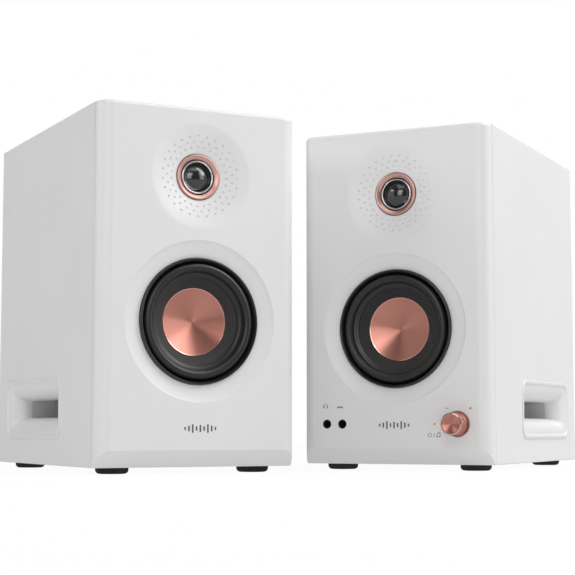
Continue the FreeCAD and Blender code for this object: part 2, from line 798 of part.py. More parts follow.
def make_terminals(side):
    """Spring terminal cup with two levers; the levers' trunnions run in the cup."""
    body = new_body(f"{side}_terminal_cup")
    half_wide, half_tall = D.cup_wide / 2, D.cup_tall / 2
    plate = D.box_depth - D.panel_inset
    outside = plate if side == "left" else D.box_depth
    if side == "left":
        rim = rectangle(sketch_on(body, "XZ", -(outside + D.panel_inset)),
                        -half_wide - D.cup_rim - 2, half_wide + D.cup_rim + 2,
                        D.cup_up - half_tall - 2, D.cup_up + half_tall + 2)
        pad(body, rim, D.panel_inset, backwards=False)
    block = rectangle(sketch_on(body, "XZ", -outside), -half_wide, half_wide,
                      D.cup_up - half_tall, D.cup_up + half_tall)
    pad(body, block, D.cup_deep)
    wells = sketch_on(body, "XZ", -(D.box_depth + 1))
    wires = sketch_on(body, "XZ", -(D.box_depth + 1))
    for sign in (1, -1):
        middle = D.lever_side * sign
        reach = D.lever_wide / 2 + D.fit_gap
        rectangle(wells, middle - reach, middle + reach,
                  D.cup_up - D.well_low, D.cup_up + D.well_high)
        circle(wires, (middle, D.cup_up - D.wire_drop), D.wire_hole)
    pocket(body, wells, D.box_depth + 1 - lever_pivot_back(side) + D.lever_hub + 1)
    pocket(body, wires, D.wire_deep)
    if side == "left":
        holes = sketch_on(body, "XZ", -(D.box_depth + 1))
        for x, z in screw_spots(side):
            circle(holes, (x, z), D.screw_radius + 0.2)
        pocket(body, holes, D.panel_inset + 2)
    bearing = circle(sketch_on(body, "YZ", -half_wide - 1),
                     (lever_pivot_back(side), D.cup_up + D.pivot_rise),
                     D.trunnion + D.running_gap)
    pocket(body, bearing, D.cup_wide + 2)
    place(body, side)
    for colour, sign in (("red", 1), ("black", -1)):
        lever = make_lever(f"{side}_terminal_lever_{colour}")
        place(lever, side, D.lever_side * sign, lever_pivot_back(side),
              D.cup_up + D.pivot_rise)


def lever_pivot_back(side):
    """How far back the levers' trunnions lie."""
    face = D.box_depth - D.panel_inset if side == "left" else D.box_depth
    return face - D.pivot_sunk


def make_lever(label):
    """Terminal lever: hub, outward tab with a turned-up end, and two trunnions."""
    body = new_body(label)
    half = D.lever_wide / 2
    hub, thick, reach = D.lever_hub, D.lever_thick, D.lever_reach
    side_view = outline(sketch_on(body, "YZ", -half),
                        [(0, -hub), (2, thick / 2 - thick), (reach - 1, -thick / 2),
                         (reach, thick / 2 + 1), (reach - 1.6, thick / 2 + 1),
                         (reach - 2.4, thick / 2), (0, hub)],
                        {6: (-hub, 0)})
    pad(body, side_view, D.lever_wide)
    pins = circle(sketch_on(body, "YZ", -half - 1), (0, 0), D.trunnion)
    pad(body, pins, D.lever_wide + 2)
    return body


# ---------------------------------------------------------------- left: crossover

def make_crossover():
    """Passive crossover board with its coil and two capacitors, on the left rear board."""
    body = new_body("left_crossover_board")
    board_back = D.box_depth - D.panel_inset - D.board - 4
    card = rectangle(sketch_on(body, "XZ", -board_back), -D.crossover_half, D.crossover_half,
                     D.crossover_low, D.crossover_high)
    pad(body, card, D.board_skin)
    parts = sketch_on(body, "XZ", -(board_back - D.board_skin))
    top = D.crossover_high
    circle(parts, (-18, top - 20), D.coil_can)
    circle(parts, (14, top - 14), D.big_can)
    circle(parts, (14, top - 36), D.small_can)
    pad(body, parts, D.can_tall)
    place(body, "left")


# ---------------------------------------------------------------- right: front controls

def make_front_controls():
    """Volume knob on its push shaft, the control board with the encoder, jacks and lamp."""
    board = new_body("right_front_board")
    front, up = D.control_board_front, D.control_up
    card = rectangle(sketch_on(board, "XZ", -(front + D.board_skin)),
                     -D.control_board_half, D.control_board_half,
                     up - D.control_board_down, up + D.control_board_rise)
    pad(board, card, D.board_skin)
    half = D.encoder_half
    encoder = rectangle(sketch_on(board, "XZ", -front),
                        D.knob_side - half, D.knob_side + half, up - half, up + half)
    pad(board, encoder, D.encoder_deep)
    bush = circle(sketch_on(board, "XZ", -(front - D.encoder_deep)), (D.knob_side, up),
                  D.shaft_radius + D.bush_skin)
    pad(board, bush, D.bush_long)
    bore = circle(sketch_on(board, "XZ"), (D.knob_side, up), D.shaft_radius + D.running_gap)
    pocket(board, bore, front - 5, backwards=True)
    place(board, "right")

    shaft = new_body("right_encoder_shaft")
    pad(shaft, circle(sketch_on(shaft, "XZ", D.knob_stand - 3), (0, 0), D.shaft_radius),
        D.knob_stand - 3 + front - 7, backwards=True)
    place(shaft, "right", D.knob_side, 0, up)

    place(make_volume_knob(), "right", D.knob_side, 0, up, Rotation(Vector(0, 0, 1), 180))

    lens = new_body("right_status_lens")
    pad(lens, circle(sketch_on(lens, "XZ", -0.1), (0, 0), D.led_radius), front - 1,
        backwards=True)
    place(lens, "right", D.led_side, 0, up)

    body = new_body("jack_master")
    pad(body, circle(sketch_on(body, "XZ"), (0, 0), D.jack_hole - 0.1),
        D.front_depth - D.jack_front, backwards=True)
    half, rise = D.jack_body_half, D.jack_body_rise
    pad(body, rectangle(sketch_on(body, "XZ", -(D.front_depth - D.jack_front)),
                        -half, half, -rise, rise), front - D.front_depth, backwards=True)
    pocket(body, circle(sketch_on(body, "XZ"), (0, 0), D.jack_bore), D.jack_deep, backwards=True)
    group("right_front_sockets",
          [(body.Shape, box_placement("right") *
            Placement(Vector(jack.value, D.jack_front.value, up.value), Rotation()))
           for jack in (D.jack_left, D.jack_right)])


def make_volume_knob():
    """Turned knob: dished face, bright chamfer, waist near the foot, blind bore."""
    low, top, radius = D.knob_gap, D.knob_stand, D.knob_radius
    bore = D.shaft_radius + D.running_gap
    return turned("right_volume_knob",
                  [(0, top - 0.5), (radius - 1.5, top), (radius - 0.6, top),
                   (radius, top - 0.6), (radius, low + 3.0), (radius - 0.7, low + 2.7),
                   (radius - 0.7, low + 1.9), (radius, low + 1.6), (radius, low),
                   (bore, low), (bore, top - 2.8), (0, top - 2.8)],
                  {0: (radius * 0.4, top - 0.42)})


# ---------------------------------------------------------------- right: amplifier

def make_amplifier():
    """Rear plate with its sockets, switch and knobs, and the board behind it."""
    plate = new_body("right_amp_plate")
    half_wide, half_tall = D.amp_wide / 2, D.amp_tall / 2
    face = rectangle(sketch_on(plate, "XZ", -D.box_depth), -half_wide, half_wide,
                     D.amp_up - half_tall, D.amp_up + half_tall)
    pad(plate, face, D.amp_skin)
    holes = sketch_on(plate, "XZ", -(D.box_depth + 1))
    for x, z in screw_spots("right"):
        circle(holes, (x, z), D.screw_radius + 0.2)
    for sign in (1, -1):
        circle(holes, (D.tone_side * sign, D.tone_up), D.shaft_radius + 0.7)
        circle(holes, (D.rca_side * sign, D.rca_up), D.rca_shoulder + 0.2)
    cup_x, cup_z = D.cup_wide / 2 + D.fit_gap, D.cup_tall / 2 + D.fit_gap
    rectangle(holes, -cup_x, cup_x, D.cup_up - cup_z, D.cup_up + cup_z)
    for side_x, reach_x, reach_z in ((D.mains_side, 11.3, 7.3), (-D.mains_side, 6.8, 10.3)):
        rectangle(holes, side_x - reach_x, side_x + reach_x,
                  D.mains_up - reach_z, D.mains_up + reach_z)
    pocket(plate, holes, D.amp_skin + 2)
    place(plate, "right")
    make_amp_board()
    make_tone_knobs()
    make_rca_sockets()
    make_mains_inlet()
    make_power_switch()


def make_amp_board():
    """Power and amplifier board with heat sink, capacitors and the two tone controls."""
    body = new_body("right_amp_board")
    front = D.box_depth - D.amp_board_inside
    card = rectangle(sketch_on(body, "XZ", -(front + D.board_skin)),
                     -D.amp_board_half, D.amp_board_half, D.amp_board_low, D.amp_board_high)
    pad(body, card, D.board_skin)
    tall = sketch_on(body, "XZ", -front)
    for rise in (22, 44):
        circle(tall, (-25, D.amp_board_low + rise), D.filter_can)
    rectangle(tall, -30, -8, D.sink_low + 20, D.sink_high - 4)
    pad(body, tall, D.filter_tall)
    fins = sketch_on(body, "XZ", -front)
    for index in range(7):
        start = D.sink_left + D.fin_skin + D.fin_pitch * index
        rectangle(fins, start, start + D.fin_skin, D.sink_low, D.sink_high)
    pad(body, fins, D.fin_tall)
    web = rectangle(sketch_on(body, "XZ", -front), D.sink_left, D.sink_right,
                    D.sink_low, D.sink_high)
    pad(body, web, D.sink_web)
    pots = sketch_on(body, "XZ", -(front + D.board_skin))
    for sign in (1, -1):
        circle(pots, (D.tone_side * sign, D.tone_up), D.tone_control)
    pad(body, pots, D.box_depth - D.amp_skin - front - D.board_skin - 4, backwards=True)
    bores = sketch_on(body, "XZ", -(D.box_depth))
    for sign in (1, -1):
        circle(bores, (D.tone_side * sign, D.tone_up), D.shaft_radius + D.running_gap)
    pocket(body, bores, 18)
    place(body, "right")


def make_tone_knobs():
    """Bass and treble knobs, each with its shaft running in the control behind."""
    for name, sign in (("bass", 1), ("treble", -1)):
        radius, tall = D.tone_radius, D.tone_tall
        knob = turned(f"right_{name}_knob",
                      [(0, -14), (D.shaft_radius, -14), (D.shaft_radius, 0.6), (radius, 0.6),
                       (radius - 0.6, tall - 0.6), (radius - 1.2, tall), (0, tall)])
        notch = rectangle(sketch_on(knob, "YZ", -0.6), tall - 1, tall + 1, 1, radius + 1)
        pocket(knob, notch, 1.2)
        place(knob, "right", D.tone_side * sign, D.box_depth, D.tone_up)


def make_rca_sockets():
    """Two phono sockets, one solid each."""
    shell, core, shoulder = D.rca_radius, D.rca_core, D.rca_shoulder
    seat = D.fit_gap
    body = turned("rca_master",
                  [(core, 0.5 - D.amp_skin), (core, D.rca_reach), (shell, D.rca_reach),
                   (shell, D.rca_neck), (D.rca_relief, D.rca_neck), (D.rca_relief, seat),
                   (shoulder, seat), (shoulder, -D.amp_skin), (6, -D.amp_skin), (6, -10),
                   (0, -10), (0, 0.5 - D.amp_skin)])
    group("right_rca_sockets",
          [(body.Shape, box_placement("right") *
            Placement(Vector(D.rca_side.value * sign, D.box_depth.value, D.rca_up.value),
                      Rotation()))
           for sign in (1, -1)])


def make_mains_inlet():
    """Two-pin mains inlet: a recess of two joined circles with the pins standing in it."""
    body = new_body("right_mains_inlet")
    proud, lip = D.fitting_proud, D.fitting_lip
    wide, rise = D.inlet_half, D.inlet_rise
    outside = D.box_depth + proud
    pad(body, rectangle(sketch_on(body, "XZ", -outside),
                        -wide - lip, wide + lip, -rise - lip, rise + lip), proud)
    pad(body, rectangle(sketch_on(body, "XZ", -D.box_depth), -wide, wide, -rise, rise),
        D.inlet_deep)
    recess = sketch_on(body, "XZ", -(outside + 1))
    side, half = D.inlet_pin_side, D.inlet_round - D.inlet_pin_side
    outline(recess, [(-side, -half), (side, -half), (side, half), (-side, half)],
            {1: (D.inlet_round, 0), 3: (-D.inlet_round, 0)})
    pocket(body, recess, D.inlet_recess)
    pins = sketch_on(body, "XZ", -(outside - D.inlet_recess + 0.5))
    for sign in (1, -1):
        circle(pins, (side * sign, 0), D.inlet_pin)
    pad(body, pins, D.inlet_pin_long, backwards=True)
    place(body, "right", D.mains_side, 0, D.mains_up)


def make_power_switch():
    """Switch housing and its rocker on two trunnions. The rocker rests with its foot in."""
    half, wide, gap = D.rocker_half, D.rocker_wide / 2, D.fit_gap
    housing = new_body("right_switch_housing")
    proud, lip = D.fitting_proud, D.fitting_lip
    across, rise = D.switch_half, D.switch_rise
    outside = D.box_depth + proud
    pad(housing, rectangle(sketch_on(housing, "XZ", -outside),
                           -across - lip, across + lip, -rise - lip, rise + lip), proud)
    pad(housing, rectangle(sketch_on(housing, "XZ", -D.box_depth),
                           -across, across, -rise, rise), D.switch_deep)
    well = rectangle(sketch_on(housing, "XZ", -(outside + 1)),
                     -wide - gap, wide + gap, -half - 0.9, half + 0.9)
    pocket(housing, well, D.switch_well)
    bearing = circle(sketch_on(housing, "YZ", -7), (D.box_depth - D.rocker_sunk, 0),
                     D.trunnion + D.running_gap)
    pocket(housing, bearing, 14)
    place(housing, "right", -D.mains_side, 0, D.mains_up)

    rocker = new_body("right_power_rocker")
    profile = outline(sketch_on(rocker, "YZ", -wide),
                      [(-3, -4.6), (2.8, -half), (1.6, 0), (2.8, half), (-3, 4.6)])
    pad(rocker, profile, D.rocker_wide)
    pins = circle(sketch_on(rocker, "YZ", -wide - 1.2), (0, 0), D.trunnion)
    pad(rocker, pins, D.rocker_wide + 2.4)
    place(rocker, "right", -D.mains_side, D.box_depth - D.rocker_sunk, D.mains_up,
          Rotation(Vector(1, 0, 0), D.rocker_tilt.value))


# ---------------------------------------------------------------- fasteners

def make_screws():
    """Pan-head screws: eight behind the woofers' flanges, eight in the rear plates."""
    head, shank = D.screw_head.value, D.screw_radius.value

    def screw(length):
        body = Part.makeCylinder(shank, length, Vector(0, 0, 0), Vector(0, -1, 0))
        cap = Part.makeCylinder(head, 1.6, Vector(0, 0, 0), Vector(0, 1, 0))
        cross = Part.makeBox(3.4, 0.8, 0.7, Vector(-1.7, 0.8, -0.35)).fuse(
            Part.makeBox(0.7, 0.8, 3.4, Vector(-0.35, 0.8, -1.7)))
        return body.fuse(cap).removeSplitter().cut(cross)

    woofer, panel = [], []
    reach = D.screw_circle.value * 0.5 ** 0.5
    seat = D.front_depth.value + D.flange_skin.value
    for side in SIDES:
        frame = box_placement(side)
        for sign_x in (1, -1):
            for sign_z in (1, -1):
                spot = Vector(reach * sign_x, seat, D.woofer_up.value + reach * sign_z)
                woofer.append((screw(6.0), frame * Placement(spot, Rotation())))
        for x, z in screw_spots(side):
            spot = Vector(x.value, D.box_depth.value, z.value)
            panel.append((screw(9.0), frame * Placement(spot, Rotation())))
    group("woofer_screws", woofer)
    group("panel_screws", panel)


# ---------------------------------------------------------------- the pair

def build():
    for side in SIDES:
        make_cabinet(side)
        make_front_baffle(side)
        make_back_panel(side)
        make_feet(side)
        make_port(side)
        make_woofer(side)
        make_tweeter(side)
        make_terminals(side)
    make_crossover()
    make_front_controls()
    make_amplifier()
    make_screws()
    doc.recompute()


def centre_pair():
    """Shift the pair so that the origin is on the table, at the middle of its plan."""
    whole = FreeCAD.BoundBox()
    for thing in EXPORTED:
        whole.add(thing.Shape.optimalBoundingBox(False, False))
    shift = Placement(Vector(-whole.Center.x, -whole.Center.y, 0), Rotation())
    for thing in EXPORTED:
        thing.Placement = shift * thing.Placement
    doc.recompute()
    return shift


def check_and_export():
    for thing in doc.Objects:
        if {"Invalid", "Error"} & set(thing.State):
            raise RuntimeError(f"{thing.Label}: {thing.State}")
    os.makedirs("parts", exist_ok=True)
    for thing in EXPORTED:
        if thing.Shape.isNull() or not thing.Shape.isValid():
            raise RuntimeError(f"{thing.Label}: no valid shape")
        thing.Shape.exportStep(f"parts/{thing.Label}.step")
    print(f"{len(EXPORTED)} sub-parts")


build()
PAIR_SHIFT = centre_pair()
check_and_export()
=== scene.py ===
"""Pair of desktop speakers: mouldings, drivers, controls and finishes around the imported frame.

Pieces are shaped in millimetres in one cabinet's own frame (x to the right, y back from the front
plane, z up from the underside of the box) and are laid into the row frame, in metres, at the end.
"""

import json
import logging
import math
from dataclasses import dataclass, field
from enum import Enum
from typing import Callable, Iterable, Sequence

import bmesh
import bpy
from mathutils import Matrix, Vector
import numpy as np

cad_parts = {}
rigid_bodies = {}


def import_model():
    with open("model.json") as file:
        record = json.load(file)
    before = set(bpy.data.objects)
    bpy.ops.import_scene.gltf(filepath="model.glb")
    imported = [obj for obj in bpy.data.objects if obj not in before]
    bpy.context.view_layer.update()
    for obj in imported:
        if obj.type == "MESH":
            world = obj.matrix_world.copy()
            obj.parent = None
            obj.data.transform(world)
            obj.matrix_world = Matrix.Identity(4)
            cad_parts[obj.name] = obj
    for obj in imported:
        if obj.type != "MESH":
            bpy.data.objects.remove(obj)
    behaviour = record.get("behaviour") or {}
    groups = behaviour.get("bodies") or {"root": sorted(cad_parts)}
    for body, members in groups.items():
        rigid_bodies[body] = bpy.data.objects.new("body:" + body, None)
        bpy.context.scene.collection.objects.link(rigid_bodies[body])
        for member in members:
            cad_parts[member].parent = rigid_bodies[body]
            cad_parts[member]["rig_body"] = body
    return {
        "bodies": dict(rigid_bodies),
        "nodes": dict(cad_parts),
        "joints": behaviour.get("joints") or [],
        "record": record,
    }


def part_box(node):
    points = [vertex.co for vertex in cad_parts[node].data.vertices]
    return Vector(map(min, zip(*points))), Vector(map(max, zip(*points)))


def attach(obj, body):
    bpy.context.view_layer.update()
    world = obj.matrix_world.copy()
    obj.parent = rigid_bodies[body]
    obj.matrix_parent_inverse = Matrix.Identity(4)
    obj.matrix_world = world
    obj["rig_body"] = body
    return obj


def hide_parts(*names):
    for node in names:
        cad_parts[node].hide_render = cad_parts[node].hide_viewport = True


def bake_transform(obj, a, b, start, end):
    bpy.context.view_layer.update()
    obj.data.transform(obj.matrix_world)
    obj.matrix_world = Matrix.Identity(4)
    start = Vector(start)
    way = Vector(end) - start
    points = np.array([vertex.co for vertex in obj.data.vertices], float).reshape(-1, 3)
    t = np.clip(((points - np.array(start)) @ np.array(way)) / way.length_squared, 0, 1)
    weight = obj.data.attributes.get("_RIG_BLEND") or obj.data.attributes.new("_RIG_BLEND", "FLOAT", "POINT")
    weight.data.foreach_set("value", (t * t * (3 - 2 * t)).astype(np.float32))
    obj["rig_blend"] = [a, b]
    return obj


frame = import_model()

LOG = logging.getLogger("speakers")
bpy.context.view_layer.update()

MM = 0.001
Point = tuple[float, float]
Colour = tuple[float, float, float]
Spot = tuple[float, float, float]
Ring = tuple[float, float, float, float]
SHARP = math.radians(32)
TINY = 1e-5
ROOT = "root"
UV_NAME = "wrap"
RUN_LAYER = "run"
AXIS_UP = Matrix.Rotation(math.radians(90), 4, "X")


class Side(Enum):
    """Which of the two cabinets."""

    LEFT = "left"
    RIGHT = "right"

    @property
    def outward(self) -> int:
        """Sign of the cabinet's x axis that points away from its neighbour."""
        return -1 if self is Side.LEFT else 1


# ---------------------------------------------------------------- mesh helpers

def arc(centre: Point, reach: Point, start: float, end: float, steps: int) -> list[Point]:
    """Points of an elliptical arc.

    Args:
        centre: middle of the ellipse, as (radius, depth).
        reach: half axes along radius and depth.
        start: first angle, in degrees from the radius axis towards depth.
        end: last angle, in degrees.
        steps: number of spans.

    Returns:
        steps + 1 points.
    """
    angles = [math.radians(start + (end - start) * i / steps) for i in range(steps + 1)]
    return [(centre[0] + reach[0] * math.cos(a), centre[1] + reach[1] * math.sin(a))
            for a in angles]


def lathe(profile: Sequence[Point], steps: int = 96, closed: bool = True) -> bmesh.types.BMesh:
    """Turn a (radius, depth) profile once round the Y axis.

    Args:
        profile: the outline in millimetres.
        steps: number of spans round.
        closed: whether the last point joins the first.

    Returns:
        The turned mesh, whose "run" layer holds the distance travelled along the profile.
    """
    bm = bmesh.new()
    run = bm.verts.layers.float.new(RUN_LAYER)
    verts, travelled = [], 0.0
    for index, spot in enumerate(profile):
        travelled += math.dist(profile[index - 1], spot) if index else 0.0
        vert = bm.verts.new((spot[0], spot[1], 0.0))
        vert[run] = travelled
        verts.append(vert)
    ends = verts[1:] + verts[:1] if closed else verts[1:]
    edges = [bm.edges.new(pair) for pair in zip(verts, ends)]
    bmesh.ops.spin(bm, geom=verts + edges, cent=(0, 0, 0), axis=(0, 1, 0), dvec=(0, 0, 0),
                   angle=math.tau, steps=steps, use_merge=True)
    bmesh.ops.remove_doubles(bm, verts=bm.verts, dist=TINY)
    bmesh.ops.recalc_face_normals(bm, faces=bm.faces)
    return bm


def wrap_round(bm: bmesh.types.BMesh) -> None:
    """Give a turned mesh its UV map: u once round, v the distance run in millimetres.

    Args:
        bm: the mesh, still about its own Y axis.
    """
    run = bm.verts.layers.float[RUN_LAYER]
    uv = bm.loops.layers.uv.new(UV_NAME)
    for face in bm.faces:
        middle = face.calc_center_median()
        ahead = math.atan2(middle.z, middle.x)
        for loop in face.loops:
            spot = loop.vert.co
            on_axis = math.hypot(spot.x, spot.z) < TINY
            angle = ahead if on_axis else math.atan2(spot.z, spot.x)
            swing = (angle - ahead + math.pi) % math.tau - math.pi
            loop[uv].uv = ((ahead + swing) / math.tau, loop.vert[run])


def block(low: Vector, high: Vector) -> bmesh.types.BMesh:
    """Make a box.

    Args:
        low: its lowest corner, in millimetres.
        high: its highest corner.

    Returns:
        The mesh.
    """
    bm = bmesh.new()
    bmesh.ops.create_cube(bm, size=1.0, matrix=Matrix.Translation((low + high) / 2)
                          @ Matrix.Diagonal((*(high - low), 1.0)))
    return bm


def soften(bm: bmesh.types.BMesh, edges: Iterable[bmesh.types.BMEdge], radius: float,
           segments: int) -> None:
    """Round the given edges.

    Args:
        bm: the mesh.
        edges: the edges to round.
        radius: offset of the bevel in millimetres.
        segments: spans across the rounding.
    """
    bmesh.ops.bevel(bm, geom=list(edges), offset=radius, offset_type="OFFSET",
                    segments=segments, profile=0.5, affect="EDGES", clamp_overlap=True,
                    material=-1)


def add_to(target: bmesh.types.BMesh, part: bmesh.types.BMesh, matrix: Matrix) -> None:
    """Move one mesh into another and free it.

    Args:
        target: the mesh that grows.
        part: the mesh that is used up.
        matrix: where it goes.
    """
    carrier = bpy.data.meshes.new("carrier")
    part.to_mesh(carrier)
    part.free()
    carrier.transform(matrix)
    target.from_mesh(carrier)
    bpy.data.meshes.remove(carrier)


def carve(body: bmesh.types.BMesh, cutter: bmesh.types.BMesh) -> bmesh.types.BMesh:
    """Take one closed mesh away from another.

    Args:
        body: the mesh that stays; it is freed.
        cutter: the mesh that goes; it is freed.

    Returns:
        What is left of the body.
    """
    objects = []
    for bm, name in ((body, "blank"), (cutter, "tool")):
        bmesh.ops.recalc_face_normals(bm, faces=bm.faces)
        data = bpy.data.meshes.new(name)
        bm.to_mesh(data)
        bm.free()
        objects.append(bpy.data.objects.new(name, data))
        bpy.context.scene.collection.objects.link(objects[-1])
    blank, tool = objects
    cut = blank.modifiers.new("cut", "BOOLEAN")
    cut.operation, cut.solver, cut.object = "DIFFERENCE", "EXACT", tool
    graph = bpy.context.evaluated_depsgraph_get()
    result = bpy.data.meshes.new_from_object(blank.evaluated_get(graph))
    left = bmesh.new()
    left.from_mesh(result)
    for thing in objects:
        data = thing.data
        bpy.data.objects.remove(thing)
        bpy.data.meshes.remove(data)
    bpy.data.meshes.remove(result)
    bmesh.ops.remove_doubles(left, verts=left.verts, dist=TINY)
    return left


# ---------------------------------------------------------------- node helpers

class Bench:
    """Adds the nodes of one tree and joins them."""

    def __init__(self, tree: bpy.types.NodeTree) -> None:
        """Work on one node tree.

        Args:
            tree: a material's, world's or group's tree.
        """
        self.tree = tree

    def add(self, kind: str, values: dict | None = None, **settings: object) -> bpy.types.Node:
        """Add one node.

        Args:
            kind: the node's type name.
            values: input socket name or number to a value or an output socket to join.
            settings: the node's own properties.

        Returns:
            The node.
        """
        node = self.tree.nodes.new(kind)
        for name, value in settings.items():
            setattr(node, name, value)
        for socket, value in (values or {}).items():
            if isinstance(value, bpy.types.NodeSocket):
                self.tree.links.new(value, node.inputs[socket])
            else:
                node.inputs[socket].default_value = value
        return node

    def math(self, operation: str, first: object, second: object = 0.0) -> bpy.types.NodeSocket:
        """The result of one sum.

        Args:
            operation: Blender's name for it.
            first: a number or a socket.
            second: a number or a socket.

        Returns:
            The output socket.
        """
        return self.add("ShaderNodeMath", {0: first, 1: second}, operation=operation).outputs[0]

    def place(self) -> bpy.types.NodeSocket:
        """The piece's own coordinates."""
        return self.add("ShaderNodeTexCoord").outputs["Object"]

    def noise(self, scale: object, detail: float = 3.0,
              roughness: float = 0.5) -> bpy.types.NodeSocket:
        """Soft noise over the piece's own coordinates.

        Args:
            scale: a number or a socket, per metre.
            detail: how many finer layers it has.
            roughness: how strong the finer layers are.

        Returns:
            The output socket.
        """
        return self.add("ShaderNodeTexNoise", {
            "Vector": self.place(), "Scale": scale, "Detail": detail,
            "Roughness": roughness}).outputs[0]

    def contrast(self, value: bpy.types.NodeSocket, low: float = 0.35,
                 high: float = 0.65) -> bpy.types.NodeSocket:
        """Stretch the middle of a value's range to 0 and 1.

        Args:
            value: the socket.
            low: what becomes 0.
            high: what becomes 1.

        Returns:
            The output socket.
        """
        return self.add("ShaderNodeMapRange", {"Value": value, "From Min": low,
                                               "From Max": high}).outputs[0]

    def wave(self, value: object, turns: object) -> bpy.types.NodeSocket:
        """The sine of a value that is counted in so many whole turns.

        Args:
            value: a number or a socket.
            turns: turns for each unit of it, a number or a socket.

        Returns:
            The output socket.
        """
        return self.math("SINE", self.math("MULTIPLY", value,
                                           self.math("MULTIPLY", turns, math.tau)))


class Effect(Enum):
    """Shader node groups that several finishes share."""

    TONE = "speaker_tone_drift"
    GLOSS = "speaker_gloss_drift"
    GRAIN = "speaker_moulded_grain"
    GROOVES = "speaker_turned_grooves"
    WEAVE = "speaker_woven_threads"
    KNURL = "speaker_knurled_grip"

    def tree(self) -> bpy.types.NodeTree:
        """The group, built the first time that it is asked for."""
        return bpy.data.node_groups.get(self.value) or EFFECT_BUILDERS[self](self.value)


def new_group(name: str, inputs: dict[str, object], output: tuple[str, str]) -> tuple[
        bpy.types.NodeTree, Bench, bpy.types.Node, bpy.types.Node]:
    """Start a shader node group.

    Args:
        name: the group's name.
        inputs: socket name to its default number or colour.
        output: name and socket type of the one output.

    Returns:
        The tree, its bench, its input node and its output node.
    """
    tree = bpy.data.node_groups.new(name, "ShaderNodeTree")
    for socket, value in inputs.items():
        kind = "NodeSocketColor" if isinstance(value, tuple) else "NodeSocketFloat"
        tree.interface.new_socket(socket, in_out="INPUT", socket_type=kind).default_value = value
    tree.interface.new_socket(output[0], in_out="OUTPUT", socket_type=output[1])
    bench = Bench(tree)
    return tree, bench, bench.add("NodeGroupInput"), bench.add("NodeGroupOutput")


def tone_group(name: str) -> bpy.types.NodeTree:
    """Colour that drifts softly between two tones, with a trace of fine speckle.

    Args:
        name: the group's name.

    Returns:
        The group.
    """
    tree, bench, given, made = new_group(
        name, {"Colour": (0.8, 0.8, 0.8, 1.0), "Shade": (0.7, 0.7, 0.7, 1.0),
               "Scale": 12.0, "Speck Scale": 900.0, "Speck": 0.15}, ("Colour", "NodeSocketColor"))
    drift = bench.contrast(bench.noise(given.outputs["Scale"]))
    fine = bench.contrast(bench.noise(given.outputs["Speck Scale"], detail=2.0))
    both = bench.math("ADD", bench.math("MULTIPLY", drift, 0.6),
                      bench.math("MULTIPLY", fine, given.outputs["Speck"]))
    mix = bench.add("ShaderNodeMix", {0: both, 6: given.outputs["Colour"],
                                      7: given.outputs["Shade"]}, data_type="RGBA")
    tree.links.new(mix.outputs[2], made.inputs[0])
    return tree


def gloss_group(name: str) -> bpy.types.NodeTree:
    """Roughness that wanders about a middle value.

    Args:
        name: the group's name.

    Returns:
        The group.
    """
    tree, bench, given, made = new_group(
        name, {"Roughness": 0.4, "Spread": 0.1, "Scale": 60.0}, ("Roughness", "NodeSocketFloat"))
    noise = bench.noise(given.outputs["Scale"], detail=4.0)
    swing = bench.math("MULTIPLY", bench.math("SUBTRACT", noise, 0.5),
                       given.outputs["Spread"])
    total = bench.math("ADD", given.outputs["Roughness"], swing)
    tree.links.new(total, made.inputs[0])
    return tree


def grain_group(name: str) -> bpy.types.NodeTree:
    """Height of the fine spark-eroded texture that a mould leaves.

    Args:
        name: the group's name.

    Returns:
        The group.
    """
    tree, bench, given, made = new_group(name, {"Scale": 2500.0}, ("Height", "NodeSocketFloat"))
    noise = bench.noise(given.outputs["Scale"], roughness=0.6)
    cells = bench.add("ShaderNodeTexVoronoi", {"Vector": bench.place(),
                                               "Scale": given.outputs["Scale"]})
    total = bench.math("ADD", noise, bench.math("MULTIPLY", cells.outputs["Distance"], 0.5))
    tree.links.new(total, made.inputs[0])
    return tree


def run_and_turn(bench: Bench) -> tuple[bpy.types.NodeSocket, bpy.types.NodeSocket]:
    """Take the wrap map of a turned piece apart.

    Args:
        bench: the bench of the tree that reads it.

    Returns:
        The distance run in millimetres, and the share of a full turn.
    """
    wrap = bench.add("ShaderNodeUVMap", uv_map=UV_NAME)
    parts = bench.add("ShaderNodeSeparateXYZ", {0: wrap.outputs[0]})
    return parts.outputs[1], parts.outputs[0]


def grooves_group(name: str) -> bpy.types.NodeTree:
    """Height of the fine irregular rings that a turning tool leaves.

    Args:
        name: the group's name.

    Returns:
        The group.
    """
    tree, bench, given, made = new_group(name, {"Rings": 6.0}, ("Height", "NodeSocketFloat"))
    run, _ = run_and_turn(bench)
    where = bench.math("MULTIPLY", run, given.outputs["Rings"])
    noise = bench.add("ShaderNodeTexNoise", {"W": where, "Scale": 1.0, "Detail": 3.0},
                      noise_dimensions="1D")
    tree.links.new(noise.outputs[0], made.inputs[0])
    return tree


def weave_group(name: str) -> bpy.types.NodeTree:
    """Height of threads that cross: round the axis and outwards from it.

    Args:
        name: the group's name.

    Returns:
        The group.
    """
    tree, bench, given, made = new_group(
        name, {"Threads Round": 140.0, "Threads Per Millimetre": 1.4},
        ("Height", "NodeSocketFloat"))
    run, turn = run_and_turn(bench)
    across = bench.wave(turn, given.outputs["Threads Round"])
    out = bench.wave(run, given.outputs["Threads Per Millimetre"])
    crossed = bench.math("MULTIPLY", bench.math("MULTIPLY", across, out), 0.5)
    total = bench.math("ADD", crossed, bench.noise(1400.0))
    tree.links.new(total, made.inputs[0])
    return tree


